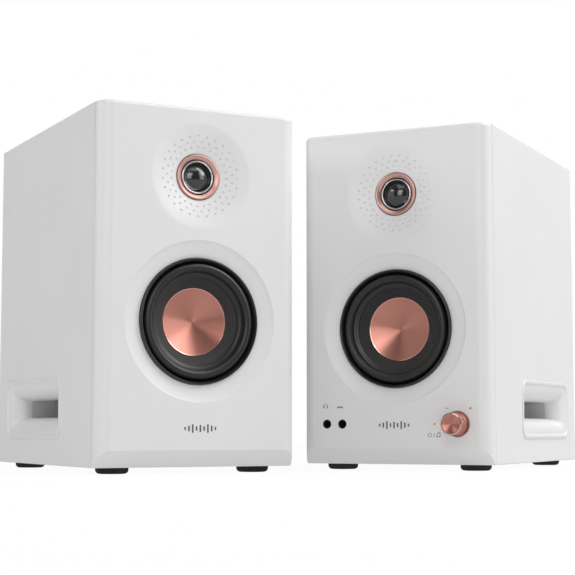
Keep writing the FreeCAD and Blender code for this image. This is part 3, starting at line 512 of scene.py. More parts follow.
def knurl_group(name: str) -> bpy.types.NodeTree:
    """Height of a fine diamond grip rolled into a turned side.

    Args:
        name: the group's name.

    Returns:
        The group.
    """
    tree, bench, given, made = new_group(
        name, {"Teeth Round": 110.0, "Teeth Per Millimetre": 2.4}, ("Height", "NodeSocketFloat"))
    run, turn = run_and_turn(bench)
    lean = bench.math("MULTIPLY", run, bench.math(
        "MULTIPLY", given.outputs["Teeth Per Millimetre"], math.tau / 2))
    round_ = bench.math("MULTIPLY", turn, bench.math(
        "MULTIPLY", given.outputs["Teeth Round"], math.tau / 2))
    first = bench.math("ABSOLUTE", bench.math("SINE", bench.math("ADD", round_, lean)))
    second = bench.math("ABSOLUTE", bench.math("SINE", bench.math("SUBTRACT", round_, lean)))
    tree.links.new(bench.math("MINIMUM", first, second), made.inputs[0])
    return tree


EFFECT_BUILDERS: dict[Effect, Callable[[str], bpy.types.NodeTree]] = {
    Effect.TONE: tone_group, Effect.GLOSS: gloss_group, Effect.GRAIN: grain_group,
    Effect.GROOVES: grooves_group, Effect.WEAVE: weave_group, Effect.KNURL: knurl_group}


# ---------------------------------------------------------------- finishes

@dataclass(frozen=True)
class Finish:
    """A procedural surface: two tones, uneven gloss, and a relief in the normals.

    Scales are per metre, and the relief's height is in millimetres.
    """

    name: str
    colour: Colour
    shade: Colour
    roughness: float = 0.4
    spread: float = 0.1
    metallic: float = 0.0
    coat: float = 0.0
    specular: float = 0.5
    tone_scale: float = 14.0
    speck: float = 0.15
    speck_scale: float = 900.0
    relief: Effect = Effect.GRAIN
    relief_values: tuple[tuple[str, float], ...] = (("Scale", 2500.0),)
    relief_height: float = 0.01
    anisotropic: float = 0.0
    glow: float = 0.0
    sheen: float = 0.0

    def material(self) -> bpy.types.Material:
        """The finish's material, built the first time that it is asked for."""
        return bpy.data.materials.get(self.name) or self.build()

    def build(self) -> bpy.types.Material:
        """Build the material's nodes.

        Returns:
            The new material.
        """
        material = bpy.data.materials.new(self.name)
        material.use_nodes = True
        material.diffuse_color = (*self.colour, 1.0)
        tree = material.node_tree
        tree.nodes.clear()
        bench = Bench(tree)

        def shared(effect: Effect, values: dict) -> bpy.types.NodeSocket:
            """Place one shared effect.

            Args:
                effect: which effect.
                values: socket name to its own value.

            Returns:
                The effect's output socket.
            """
            node = bench.add("ShaderNodeGroup", node_tree=effect.tree())
            for socket, value in values.items():
                node.inputs[socket].default_value = value
            return node.outputs[0]

        tone = shared(Effect.TONE, {
            "Colour": (*self.colour, 1.0), "Shade": (*self.shade, 1.0), "Speck": self.speck,
            "Scale": self.tone_scale, "Speck Scale": self.speck_scale})
        gloss = shared(Effect.GLOSS, {"Roughness": self.roughness, "Spread": self.spread})
        height = shared(self.relief, dict(self.relief_values))
        bump = bench.add("ShaderNodeBump", {"Height": height, "Strength": 1.0,
                                            "Distance": self.relief_height * MM})
        values = {"Base Color": tone, "Roughness": gloss, "Metallic": self.metallic,
                  "Coat Weight": self.coat, "Coat Roughness": 0.12, "Normal": bump.outputs[0],
                  "Specular IOR Level": self.specular, "Sheen Weight": self.sheen}
        if self.anisotropic:
            across = bench.add("ShaderNodeTangent", direction_type="UV_MAP", uv_map=UV_NAME)
            values |= {"Anisotropic": self.anisotropic, "Anisotropic Rotation": 0.25,
                       "Tangent": across.outputs[0]}
        if self.glow:
            values |= {"Emission Color": tone, "Emission Strength": self.glow}
        surface = bench.add("ShaderNodeBsdfPrincipled", values)
        bench.add("ShaderNodeOutputMaterial", {"Surface": surface.outputs[0]})
        return material


def metal(name: str, colour: Colour, shade: Colour, roughness: float = 0.28,
          **more: object) -> Finish:
    """A plain metal finish with a fine grain.

    Args:
        name: the material's name.
        colour: the main tone.
        shade: the second tone.
        roughness: middle roughness.
        more: any other field of Finish.

    Returns:
        The finish.
    """
    return Finish(name, colour, shade, roughness=roughness, metallic=1.0, **more)


def along_run(rings: float) -> tuple[tuple[str, float], ...]:
    """Relief values of turned grooves with so many rings per millimetre."""
    return (("Rings", rings),)


def grained(scale: float) -> tuple[tuple[str, float], ...]:
    """Relief values of a moulded grain with so many cells per metre."""
    return (("Scale", scale),)


WHITE_MOULDING = Finish("white_satin_moulding", (0.80, 0.80, 0.80), (0.775, 0.775, 0.777),
                        roughness=0.42, relief_height=0.006)
WHITE_VINYL = Finish("white_matt_vinyl", (0.79, 0.79, 0.79), (0.762, 0.762, 0.765),
                     roughness=0.52, relief_height=0.014,
                     relief_values=grained(1500.0))
WHITE_PORT = Finish("white_port_moulding", (0.79, 0.79, 0.79), (0.765, 0.765, 0.768),
                    roughness=0.4, relief_height=0.006)
GREY_DUCT = Finish("grey_duct_moulding", (0.68, 0.68, 0.68), (0.64, 0.64, 0.64), roughness=0.5)
BLACK_GLOSS = Finish("black_gloss_moulding", (0.011, 0.011, 0.012), (0.016, 0.016, 0.017),
                     roughness=0.2, coat=0.3, relief_height=0.002)
BLACK_MOULDING = Finish("black_fine_moulding", (0.018, 0.018, 0.019), (0.028, 0.028, 0.029),
                        roughness=0.46, relief_height=0.02, relief_values=grained(1800.0))
JACK_BLACK = Finish("black_jack_moulding", (0.004, 0.004, 0.004), (0.006, 0.006, 0.006),
                    roughness=0.6, specular=0.2)
RED_MOULDING = Finish("red_lever_moulding", (0.46, 0.02, 0.02), (0.38, 0.016, 0.016),
                      roughness=0.34, relief_height=0.01)
SOFT_RUBBER = Finish("foot_soft_rubber", (0.014, 0.014, 0.015), (0.026, 0.026, 0.027),
                     roughness=0.75, relief_height=0.03, relief_values=grained(1200.0),
                     specular=0.35)
ROLL_RUBBER = Finish("surround_butyl_rubber", (0.006, 0.006, 0.006), (0.012, 0.012, 0.012),
                     roughness=0.38, spread=0.12, relief_height=0.004, speck=0.3,
                     specular=0.6)
CONE_PAPER = Finish("cone_woven_paper", (0.008, 0.008, 0.009), (0.026, 0.023, 0.023),
                    roughness=0.62, relief=Effect.WEAVE, relief_height=0.09, speck=0.6,
                    speck_scale=1500.0, sheen=0.12, relief_values=(
                        ("Threads Round", 150.0), ("Threads Per Millimetre", 1.1)))
SPIDER_CLOTH = Finish("spider_treated_cloth", (0.46, 0.33, 0.16), (0.36, 0.25, 0.11),
                      roughness=0.8, relief=Effect.WEAVE, relief_height=0.12, sheen=0.2,
                      relief_values=(("Threads Round", 160.0),
                                     ("Threads Per Millimetre", 1.2)))
SPUN_ROSE = metal("rose_gold_spun", (0.74, 0.32, 0.255), (0.66, 0.27, 0.21), roughness=0.33,
                  coat=0.3, spread=0.05, speck=0.1, relief=Effect.GROOVES,
                  relief_values=along_run(5.0), relief_height=0.012, anisotropic=0.86)
RING_ROSE = metal("rose_gold_satin", (0.84, 0.5, 0.45), (0.78, 0.45, 0.4), roughness=0.36,
                  coat=0.2, relief=Effect.GROOVES, relief_values=along_run(7.0),
                  relief_height=0.003, anisotropic=0.4)
GRIP_ROSE = metal("rose_gold_knurled", (0.78, 0.36, 0.3), (0.66, 0.29, 0.23), roughness=0.34,
                  relief=Effect.KNURL, relief_height=0.07, relief_values=(
                      ("Teeth Round", 96.0), ("Teeth Per Millimetre", 2.2)))
BRIGHT_EDGE = metal("rose_gold_cut_edge", (0.93, 0.6, 0.53), (0.88, 0.55, 0.48), roughness=0.14,
                    relief=Effect.GROOVES, relief_values=along_run(9.0), relief_height=0.001)
CHROME = metal("bright_nickel_ring", (0.83, 0.83, 0.83), (0.76, 0.76, 0.77), roughness=0.16,
               relief=Effect.GROOVES, relief_values=along_run(9.0), relief_height=0.001)
DOME_FILM = Finish("dome_dark_film", (0.006, 0.007, 0.007), (0.012, 0.014, 0.014),
                   roughness=0.09, spread=0.03, coat=1.0, specular=0.7, relief_height=0.001)
STEEL = metal("plated_steel", (0.56, 0.56, 0.57), (0.46, 0.46, 0.47), roughness=0.34)
BLACK_STEEL = metal("black_coated_steel", (0.03, 0.03, 0.032), (0.045, 0.045, 0.047),
                    roughness=0.45, relief_height=0.02)
COPPER = metal("wound_copper", (0.66, 0.27, 0.13), (0.55, 0.2, 0.09), roughness=0.34,
               speck=0.6)
FERRITE = Finish("sintered_ferrite", (0.03, 0.03, 0.033), (0.05, 0.05, 0.052), roughness=0.72,
                 relief_height=0.05, relief_values=grained(900.0), speck=0.5)
BOARD_GREEN = Finish("circuit_board_green", (0.02, 0.13, 0.06), (0.03, 0.18, 0.085),
                     roughness=0.38, tone_scale=140.0, speck=0.8, speck_scale=500.0)
PLATE_PAINT = Finish("amp_plate_powder_coat", (0.02, 0.02, 0.022), (0.03, 0.03, 0.032),
                     roughness=0.55, relief_height=0.05, relief_values=grained(1300.0))
SOCKET_METAL = metal("socket_nickel", (0.7, 0.69, 0.66), (0.6, 0.59, 0.56), roughness=0.2)
LAMP_RED = Finish("lamp_red_lens", (0.75, 0.012, 0.012), (0.6, 0.008, 0.008), roughness=0.2,
                  glow=0.55, relief_height=0.002)
INK = Finish("printed_grey_ink", (0.085, 0.088, 0.095), (0.12, 0.12, 0.13), roughness=0.4,
             relief_height=0.003)
PALE_INK = Finish("printed_white_ink", (0.62, 0.62, 0.63), (0.56, 0.56, 0.57), roughness=0.5,
                  relief_height=0.003)
FLOOR = Finish("studio_pale_floor", (0.42, 0.42, 0.42), (0.4, 0.4, 0.4), roughness=0.85,
               spread=0.04, specular=0.1, glow=0.95, tone_scale=2.0, relief_height=0.002)

CAD_FINISHES: dict[str, Finish] = {
    "white_vinyl_mdf": WHITE_VINYL, "white_moulding": WHITE_MOULDING,
    "grey_moulding": GREY_DUCT, "foot_rubber": SOFT_RUBBER, "black_moulding": BLACK_MOULDING,
    "red_moulding": RED_MOULDING, "black_steel": BLACK_STEEL, "surround_rubber": ROLL_RUBBER,
    "cone_paper": CONE_PAPER, "spider_cloth": SPIDER_CLOTH, "rose_gold": RING_ROSE,
    "copper_winding": COPPER, "ferrite": FERRITE, "plated_steel": STEEL,
    "dome_film": DOME_FILM, "screw_steel": BLACK_STEEL, "circuit_board": BOARD_GREEN,
    "socket_metal": SOCKET_METAL, "lamp_lens": LAMP_RED, "amp_plate_paint": PLATE_PAINT}


# ---------------------------------------------------------------- placing

@dataclass(frozen=True)
class Cabinet:
    """One cabinet's own frame inside the row."""

    side: Side
    origin: Vector
    right: Vector
    back: Vector

    @classmethod
    def of(cls, side: Side, feet_middle_back: float = 109.5) -> "Cabinet":
        """Find a cabinet's frame from its feet and the way its woofer travels.

        Args:
            side: which cabinet.
            feet_middle_back: how far the middle of the four feet lies behind the front plane.

        Returns:
            The cabinet's frame.
        """
        travel = next(j for j in frame["joints"] if j["name"] == f"{side.value}_woofer_travel")
        back = -Vector(travel["axis"]).normalized()
        low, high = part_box(f"{side.value}_feet")
        origin = (low + high) / 2 - back * feet_middle_back * MM
        origin.z = high.z
        return cls(side, origin, back.cross(Vector((0, 0, 1))), back)

    def at(self, x: float = 0.0, y: float = 0.0, z: float = 0.0) -> Matrix:
        """Matrix from millimetres about a point of the cabinet to metres in the row.

        Args:
            x: millimetres to the right of the middle.
            y: millimetres behind the front plane.
            z: millimetres above the underside of the box.

        Returns:
            The matrix that a piece is laid into place with.
        """
        columns = (self.right, self.back, Vector((0, 0, 1)))
        turn = Matrix(columns).transposed().to_4x4()
        return (Matrix.Translation(self.origin) @ turn @ Matrix.Scale(MM, 4)
                @ Matrix.Translation((x, y, z)))

    def height_of(self, node: str) -> float:
        """Millimetres from the underside of the box to the middle of a CAD node."""
        low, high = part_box(self.name(node))
        return ((low.z + high.z) / 2 - self.origin.z) / MM

    def name(self, piece: str) -> str:
        """The piece's name with the cabinet's side before it."""
        return f"{self.side.value}_{piece}"

    def install(self, bm: bmesh.types.BMesh, piece: str, matrix: Matrix, finish: Finish,
                slot: str, body: str = ROOT, stands_for: Sequence[str] = (),
                edge_finish: Finish | None = None, weighted: bool = False) -> bpy.types.Object:
        """Lay a finished mesh into the row as a piece, dress it and let it ride.

        Args:
            bm: the mesh in millimetres; it is freed.
            piece: the piece's name without its side.
            matrix: where it goes, from at().
            finish: what it is made of.
            slot: the record's slot that the finish stands for; it is not used.
            body: the body that it rides on, without its side if it has one.
            stands_for: CAD nodes without their side, which it replaces.
            edge_finish: finish of the faces with material number 1.
            weighted: whether broad faces lead in the normals.

        Returns:
            The new object.
        """
        if RUN_LAYER in bm.verts.layers.float:
            wrap_round(bm)
        bmesh.ops.recalc_face_normals(bm, faces=bm.faces)
        for face in bm.faces:
            face.smooth = True
        for edge in bm.edges:
            edge.smooth = len(edge.link_faces) == 2 and edge.calc_face_angle(0.0) < SHARP
        bm.transform(matrix)
        mesh = bpy.data.meshes.new(self.name(piece))
        bm.to_mesh(mesh)
        bm.free()
        made = bpy.data.objects.new(self.name(piece), mesh)
        bpy.context.scene.collection.objects.link(made)
        for look in filter(None, (finish, edge_finish)):
            mesh.materials.append(look.material())
        if weighted:
            made.modifiers.new("broad_faces", "WEIGHTED_NORMAL").keep_sharp = True
        if stands_for:
            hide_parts(*[self.name(node) for node in stands_for])
        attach(made, body if body in frame["bodies"] else self.name(body))
        LOG.info("%s: %d faces", made.name, len(mesh.polygons))
        return made


@dataclass(frozen=True)
class ControlPlan:
    """Where the controls lie on the active front, and the holes that they need."""

    height: float = 26.7
    jacks: tuple[float, float] = (-48.6, -37.4)
    jack_hole: float = 3.05
    lamp: float = 28.3
    lamp_hole: float = 0.66
    knob: float = 44.2
    shaft_hole: float = 4.0
    well_radius: float = 8.5
    well_deep: float = 1.6
    well_corner: float = 0.4


# ---------------------------------------------------------------- front moulding

@dataclass
class FrontMoulding:
    """White front: rounded uprights, chamfered toe, two dishes and a field of dimples."""

    cabinet: Cabinet
    width: float = 134.0
    depth: float = 10.0
    height: float = 225.0
    upright_radius: float = 9.0
    top_radius: float = 2.6
    toe_rise: float = 10.5
    toe_back: float = 9.0
    dish_radius: float = 50.7
    dish_deep: float = 3.2
    woofer_hole: float = 39.9
    guide_radius: float = 34.3
    guide_deep: float = 5.6
    tweeter_hole: float = 14.9
    dimple_rings: tuple[float, ...] = (18.8, 22.2, 25.5)
    dimples_round: int = 27
    dimple_radius: float = 0.92
    dimple_proud: float = 0.12
    upright_spans: int = 14
    top_spans: int = 6
    slope_spans: int = 12
    dish_spans: int = 144
    tool_ahead: float = 4.0
    guide_fullness: float = 1.25
    dish_fullness: float = 0.62
    plan: ControlPlan = ControlPlan()

    def slab(self) -> bmesh.types.BMesh:
        """Shape the moulding's outside, before anything is cut into it.

        Returns:
            The blank.
        """
        half = self.width / 2
        bm = block(Vector((-half, 0, 0)), Vector((half, self.depth, self.height)))
        uprights = [e for e in bm.edges if all(abs(v.co.y) < TINY for v in e.verts)
                    and abs(e.verts[0].co.z - e.verts[1].co.z) > 1]
        soften(bm, uprights, self.upright_radius, self.upright_spans)
        rim = [e for e in bm.edges if all(abs(v.co.z - self.height) < TINY for v in e.verts)
               and not all(abs(v.co.y - self.depth) < TINY for v in e.verts)]
        soften(bm, rim, self.top_radius, self.top_spans)
        cut = bmesh.ops.bisect_plane(
            bm, geom=bm.verts[:] + bm.edges[:] + bm.faces[:], plane_co=(0, 0, self.toe_rise),
            plane_no=(0, -self.toe_rise, -self.toe_back), clear_outer=True, dist=TINY)
        rim = [g for g in cut["geom_cut"] if isinstance(g, bmesh.types.BMEdge)]
        bmesh.ops.contextual_create(bm, geom=rim)
        return bm

    def dish(self, rim: float, hole: float, deep: float, fullness: float) -> bmesh.types.BMesh:
        """The tool that cuts one dish and the hole in its middle.

        Args:
            rim: radius of the dish at the front plane.
            hole: radius of the hole.
            deep: depth of the dish at the hole.
            fullness: below 1 for a crisp rim and a flat floor, above 1 for a soft rim.

        Returns:
            The tool, about its own axis.
        """
        steps, ahead = self.slope_spans, self.tool_ahead
        slope = [(rim - (rim - hole) * i / steps, deep * (i / steps) ** fullness)
                 for i in range(1, steps + 1)]
        start = [(0, -ahead), (rim, -ahead), (rim, 0.0)]
        return lathe([*start, *slope, (hole, self.depth + ahead), (0, self.depth + ahead)],
                     self.dish_spans, closed=False)

    def dimples(self) -> bmesh.types.BMesh:
        """Make the small balls that leave the field of dimples round the tweeter.

        Returns:
            The balls, about the tweeter's axis.
        """
        bm = bmesh.new()
        span = self.guide_radius - self.tweeter_hole
        for ring, radius in enumerate(self.dimple_rings):
            share = (self.guide_radius - radius) / span
            depth = self.guide_deep * share ** self.guide_fullness
            for step in range(self.dimples_round):
                angle = math.tau * (step + 0.5 * (ring % 2)) / self.dimples_round
                spot = (radius * math.cos(angle), depth - self.dimple_proud,
                        radius * math.sin(angle))
                bmesh.ops.create_icosphere(bm, subdivisions=2, radius=self.dimple_radius,
                                           matrix=Matrix.Translation(spot))
        return bm

    def build(self) -> None:
        """Cut the moulding and lay it in place."""
        woofer, tweeter = (Matrix.Translation((0, 0, self.cabinet.height_of(ring)))
                           for ring in ("woofer_trim_ring", "tweeter_trim_ring"))
        tools = bmesh.new()
        add_to(tools, self.dish(self.dish_radius, self.woofer_hole, self.dish_deep,
                                self.dish_fullness), woofer)
        add_to(tools, self.dish(self.guide_radius, self.tweeter_hole, self.guide_deep,
                                self.guide_fullness), tweeter)
        if self.cabinet.side is Side.RIGHT:
            self.add_control_tools(tools)
        bm = carve(self.slab(), tools)
        dots = bmesh.new()
        add_to(dots, self.dimples(), tweeter)
        bm = carve(bm, dots)
        self.cabinet.install(bm, "front_moulding", self.cabinet.at(), WHITE_MOULDING,
                             "white_moulding", stands_for=["front_baffle"], weighted=True)

    def add_control_tools(self, tools: bmesh.types.BMesh) -> None:
        """Add the tools for the jacks, the lamp and the knob's well.

        Args:
            tools: the mesh that they join.
        """
        plan, through = self.plan, self.depth + 2
        holes = [(x, plan.jack_hole) for x in plan.jacks] + [(plan.lamp, plan.lamp_hole)]
        for x, radius in holes:
            add_to(tools, lathe([(0, -1), (radius, -1), (radius, through), (0, through)], 48,
                                False), Matrix.Translation((x, 0, plan.height)))
        radius, deep, corner = plan.well_radius, plan.well_deep, plan.well_corner
        well = [(0, -1), (radius, -1), (radius, deep - corner), (radius - corner, deep),
                (plan.shaft_hole, deep), (plan.shaft_hole, through), (0, through)]
        add_to(tools, lathe(well, 72, False), Matrix.Translation((plan.knob, 0, plan.height)))


# ---------------------------------------------------------------- side port

@dataclass
class PortMouth:
    """Moulded mouth of the side port: raised lip, and a throat that narrows to a slot.

    Each ring of the lip is given as its inset from the mouth, its corner's radius and its depth.
    """

    cabinet: Cabinet
    middle_back: float = 128.5
    middle_up: float = 37.0
    half_width: float = 67.0
    mouth: Point = (59.0, 20.25)
    slot: Point = (45.0, 6.0)
    lip: tuple[Spot, ...] = ((0.0, 9.0, 0.02), (0.0, 9.0, -0.45), (0.25, 8.8, -0.8),
                             (0.8, 8.3, -1.0), (1.7, 7.5, -1.0), (2.4, 6.9, -0.75))
    lip_wide: float = 3.0
    throat_deep: float = 14.0
    throat_corner: float = 5.3
    slot_corner: float = 0.9
    seam_wide: float = 0.35
    seam_corner: float = 1.2
    seam_deep: float = 0.5
    back_corner: float = 2.0
    steps: int = 12
    corner_spans: int = 8

    def rings(self) -> list[Ring]:
        """List the rings that the mouth is drawn through, from outside to inside.

        Returns:
            Half length, half height, corner radius and depth of each ring.
        """
        (long, tall), (slot_long, slot_tall), deep = self.mouth, self.slot, self.throat_deep
        lip = [(long - inset, tall - inset, corner, depth) for inset, corner, depth in self.lip]
        long, tall = long - self.lip_wide, tall - self.lip_wide
        throat = []
        for step in range(self.steps + 1):
            angle = math.radians(90 * step / self.steps)
            shrink, depth = 1 - math.sin(angle), 1 - math.cos(angle)
            throat.append((slot_long + (long - slot_long) * shrink,
                           slot_tall + (tall - slot_tall) * shrink,
                           self.slot_corner + self.throat_corner * shrink,
                           (deep - self.seam_deep) * depth))
        seam = [(slot_long + self.seam_wide, slot_tall + self.seam_wide, self.seam_corner, depth)
                for depth in (deep - 0.2, deep)]
        back = [(long, tall, self.back_corner, depth) for depth in (deep, 0.02)]
        return lip + throat + seam + back

    def ring(self, bm: bmesh.types.BMesh, size: Ring) -> None:
        """Add one rounded rectangle across the throat.

        Args:
            bm: the mesh that it joins.
            size: half length, half height, corner radius and depth.
        """
        long, tall, corner, depth = size
        made = bmesh.new()
        bmesh.ops.create_grid(made, x_segments=1, y_segments=1, size=1.0)
        bmesh.ops.transform(made, verts=made.verts, matrix=Matrix.Diagonal((long, tall, 1, 1)))
        bmesh.ops.bevel(made, geom=made.verts[:], offset=corner, offset_type="OFFSET",
                        segments=self.corner_spans, profile=0.5, affect="VERTICES",
                        material=-1)
        bmesh.ops.delete(made, geom=made.faces[:], context="FACES_ONLY")
        across = Matrix(((0, 0, 1, depth), (1, 0, 0, 0), (0, 1, 0, 0), (0, 0, 0, 1)))
        add_to(bm, made, across)

    def build(self) -> None:
        """Join each ring to the next and lay the mouth into the cabinet's outer wall."""
        bm = bmesh.new()
        rings = self.rings()
        for size in rings:
            self.ring(bm, size)
        verts = list(bm.verts)
        bm.verts.index_update()
        count = len(verts) // len(rings)
        spans = [[v.index for v in edge.verts] for edge in bm.edges
                 if all(v.index < count for v in edge.verts)]
        for start in range(0, len(verts), count):
            after = (start + count) % len(verts)
            for a, b in spans:
                bm.faces.new([verts[i] for i in (start + a, start + b, after + b, after + a)])
        out = self.cabinet.side.outward
        turn = Matrix.Rotation(math.pi if out > 0 else 0.0, 4, "Z")
        place = self.cabinet.at(self.half_width * out, self.middle_back, self.middle_up) @ turn
        self.cabinet.install(bm, "port_mouth", place, WHITE_PORT, "white_moulding",
                             stands_for=["port_flare"])


# ---------------------------------------------------------------- feet

@dataclass
class Feet:
    """Four soft feet with a rounded shoulder and a ringed tread."""

    cabinet: Cabinet
    reach_side: float = 48.0
    rows: Point = (26.0, 193.0)
    radius: float = 10.3
    tread: float = 7.6
    tall: float = 4.0
    groove: Point = (6.2, 5.0)
    groove_slant: float = 0.3
    groove_deep: float = 0.35

    def foot(self) -> bmesh.types.BMesh:
        """Turn one foot, which hangs below its own origin.

        Returns:
            The mesh.
        """
        shoulder = arc((self.tread, -self.tall * 0.36), (self.radius - self.tread,
                       self.tall * 0.64), 0, -90, 8)
        (outer, inner), slant = self.groove, self.groove_slant
        low, floor = -self.tall, -self.tall + self.groove_deep
        tread = [(outer, low), (outer - slant, floor), (inner + slant, floor), (inner, low),
                 (0, low)]
        return lathe([(0, -0.02), (self.radius - 0.3, -0.02), (self.radius, -0.3),
                      *shoulder, *tread], 64, closed=False)

    def build(self) -> None:
        """Set the four feet under the box."""
        bm = bmesh.new()
        bm.verts.layers.float.new(RUN_LAYER)
        for x in (-self.reach_side, self.reach_side):
            for y in self.rows:
                one = self.foot()
                wrap_round(one)
                add_to(bm, one, Matrix.Translation((x, y, 0)) @ AXIS_UP)
        bm.verts.layers.float.remove(bm.verts.layers.float[RUN_LAYER])
        self.cabinet.install(bm, "soft_feet", self.cabinet.at(), SOFT_RUBBER, "foot_rubber",
                             stands_for=["feet"])


# ---------------------------------------------------------------- drivers

@dataclass
class Woofer:
    """Long-throw driver: bezel, rubber roll, paper cone, spun cap and centring cloth."""

    cabinet: Cabinet
    ring_radius: float = 39.6
    ring_inner: float = 37.0
    ring_crest: float = 0.8
    ring_back: float = 10.0
    roll_outer: float = 36.7
    roll_inner: float = 30.5
    roll_foot: float = 4.4
    roll_crest: float = 0.9
    rubber: float = 0.7
    cone_rim: Point = (27.5, 6.6)
    cone_neck: Point = (13.0, 18.2)
    paper: float = 0.8
    cap_radius: float = 21.5
    cap_rim: float = 10.5
    cap_dish: float = 4.0
    cap_skin: float = 0.6
    spider_inner: float = 13.1
    spider_outer: float = 27.6
    spider_front: float = 22.0
    spider_skin: float = 0.5
    diaphragm: str = "woofer_diaphragm"
    place: Matrix = field(init=False)

    def __post_init__(self) -> None:
        """Find the driver's axis from its trim ring."""
        self.place = self.cabinet.at(z=self.cabinet.height_of("woofer_trim_ring"))

    def bezel(self) -> None:
        """Gloss ring that steps down to the roll, with a thin bright shoulder."""
        crest = self.ring_crest
        outer = self.ring_radius
        profile = [(outer, self.ring_back - 0.02), (outer, crest + 0.9),
                   *arc((outer - 0.75, crest + 0.75), (0.75, 0.75), 0, -90, 6),
                   (outer - 1.2, crest + 0.12), (outer - 1.7, crest + 0.7),
                   (self.ring_inner + 0.3, self.roll_foot - 0.9),
                   (self.ring_inner + 0.04, self.roll_foot - 0.2),
                   (self.ring_inner + 0.02, self.ring_back - 0.02)]
        self.cabinet.install(lathe(profile, 160), "woofer_bezel", self.place, BLACK_GLOSS,
                             "black_moulding", stands_for=["woofer_trim_ring"])

    def roll(self) -> None:
        """Half-roll surround, which stretches between the frame and the cone."""
        middle = (self.roll_outer + self.roll_inner) / 2
        half = (self.roll_outer - self.roll_inner) / 2
        tall = self.roll_foot - self.roll_crest
        skin = self.rubber
        flange = [(self.roll_inner - 0.5, self.roll_foot + 0.12),
                  (self.cone_rim[0] + 1.6, self.roll_foot + 0.35),
                  (self.cone_rim[0] + 1.0, self.roll_foot + 0.8),
                  (self.cone_rim[0], self.roll_foot + 1.0)]
        front = [(self.roll_outer, self.ring_back - 0.45),
                 *arc((middle, self.roll_foot), (half, tall), 0, -180, 26), *flange]
        rear = [(radius, depth + skin) for radius, depth in reversed(flange)]
        rear += [*arc((middle, self.roll_foot + 0.1), (half - skin, tall - skin), 180, 360, 20),
                 (self.roll_outer - skin, self.ring_back - 0.45)]
        bm = lathe(front + rear, 144)
        made = self.cabinet.install(bm, "woofer_roll", self.place, ROLL_RUBBER,
                                    "surround_rubber", stands_for=["woofer_surround"])
        self.stretch(made, self.roll_outer - 0.4, self.roll_inner)

    def spider(self) -> None:
        """Corrugated cloth that centres the coil, fixed outside and moving inside."""
        waves, spans = 5, 60
        span = self.spider_outer - self.spider_inner
        front = [(self.spider_inner + span * i / spans,
                  self.spider_front + 0.6 - 0.6 * math.cos(math.tau * waves * i / spans))
                 for i in range(spans + 1)]
        rear = [(radius, depth + self.spider_skin) for radius, depth in reversed(front)]
        made = self.cabinet.install(lathe(front + rear, 72), "woofer_centring_cloth",
                                    self.place, SPIDER_CLOTH, "spider_cloth",
                                    stands_for=["woofer_spider"])
        self.stretch(made, self.spider_outer - 0.8, self.spider_inner + 0.8)

    def stretch(self, made: bpy.types.Object, still: float, moving: float) -> None:
        """Let a round piece follow the frame at its rim and the cone at its middle.

        Args:
            made: the piece.
            still: radius outside which it stays with the frame.
            moving: radius inside which it moves with the cone.
        """
        made.parent = None
        del made["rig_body"]
        inwards = self.place.inverted()
        spots = [inwards @ vert.co for vert in made.data.vertices]
        axis = [self.place @ Vector((0, depth, 0)) for depth in (0.0, 10.0)]
        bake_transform(made, ROOT, self.cabinet.name(self.diaphragm), axis[0], axis[1])
        for vert, spot in zip(made.data.attributes["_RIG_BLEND"].data, spots):
            share = (still - math.hypot(spot.x, spot.z)) / (still - moving)
            share = min(1.0, max(0.0, share))
            vert.value = share * share * (3 - 2 * share)

    def cone(self) -> None:
        """Slightly curved paper cone with a turned rim."""
        rim, neck = self.cone_rim, self.cone_neck
        steps, bow = 14, 0.9
        face = []
        for step in range(steps + 1):
            share = step / steps
            sag = bow * math.sin(math.pi * share)
            face.append((rim[0] + (neck[0] - rim[0]) * share - 0.4 * sag,
                         rim[1] + (neck[1] - rim[1]) * share - 0.4 * sag))
        front = [(rim[0] + 2.6, rim[1] - 0.66), (rim[0] + 0.7, rim[1] - 0.45), *face]
        rear = [(radius, depth + self.paper) for radius, depth in reversed(front)]
        rear[-1] = (front[0][0], front[0][1] + 0.7)
        self.cabinet.install(lathe(front + rear, 144), "woofer_paper_cone", self.place,
                             CONE_PAPER, "cone_paper", self.diaphragm, ["woofer_cone"])

    def cap(self) -> None:
        """Dished metal cap, spun so that light fans out from its middle, with a cut rim."""
        steps = 26
        rim = self.cap_radius - 0.5
        dish = []
        for step in range(1, steps + 1):
            radius = rim * step / steps
            dish.append((radius, self.cap_rim + self.cap_dish
                         * (1 - (radius / self.cap_radius) ** 1.6)))
        edge = [(self.cap_radius - 0.22, self.cap_rim + 0.02),
                (self.cap_radius, self.cap_rim + 0.24), (self.cap_radius, self.cap_rim + 0.9)]
        rear = [(radius, depth + self.cap_skin) for radius, depth in reversed(dish)]
        tip = self.cap_rim + self.cap_dish
        profile = [(0, tip - 0.04), *dish, *edge, *rear[1:], (0, tip + self.cap_skin)]
        bm = lathe(profile, 180, closed=False)
        for face in bm.faces:
            middle = face.calc_center_median()
            if math.hypot(middle.x, middle.z) > rim:
                face.material_index = 1
        self.cabinet.install(bm, "woofer_spun_cap", self.place, SPUN_ROSE, "rose_gold",
                             self.diaphragm, ["woofer_dust_cap"], edge_finish=BRIGHT_EDGE)

    def build(self) -> None:
        """Make every piece of the driver that shows from the front."""
        self.bezel()
        self.roll()
        self.cone()
        self.cap()
        self.spider()


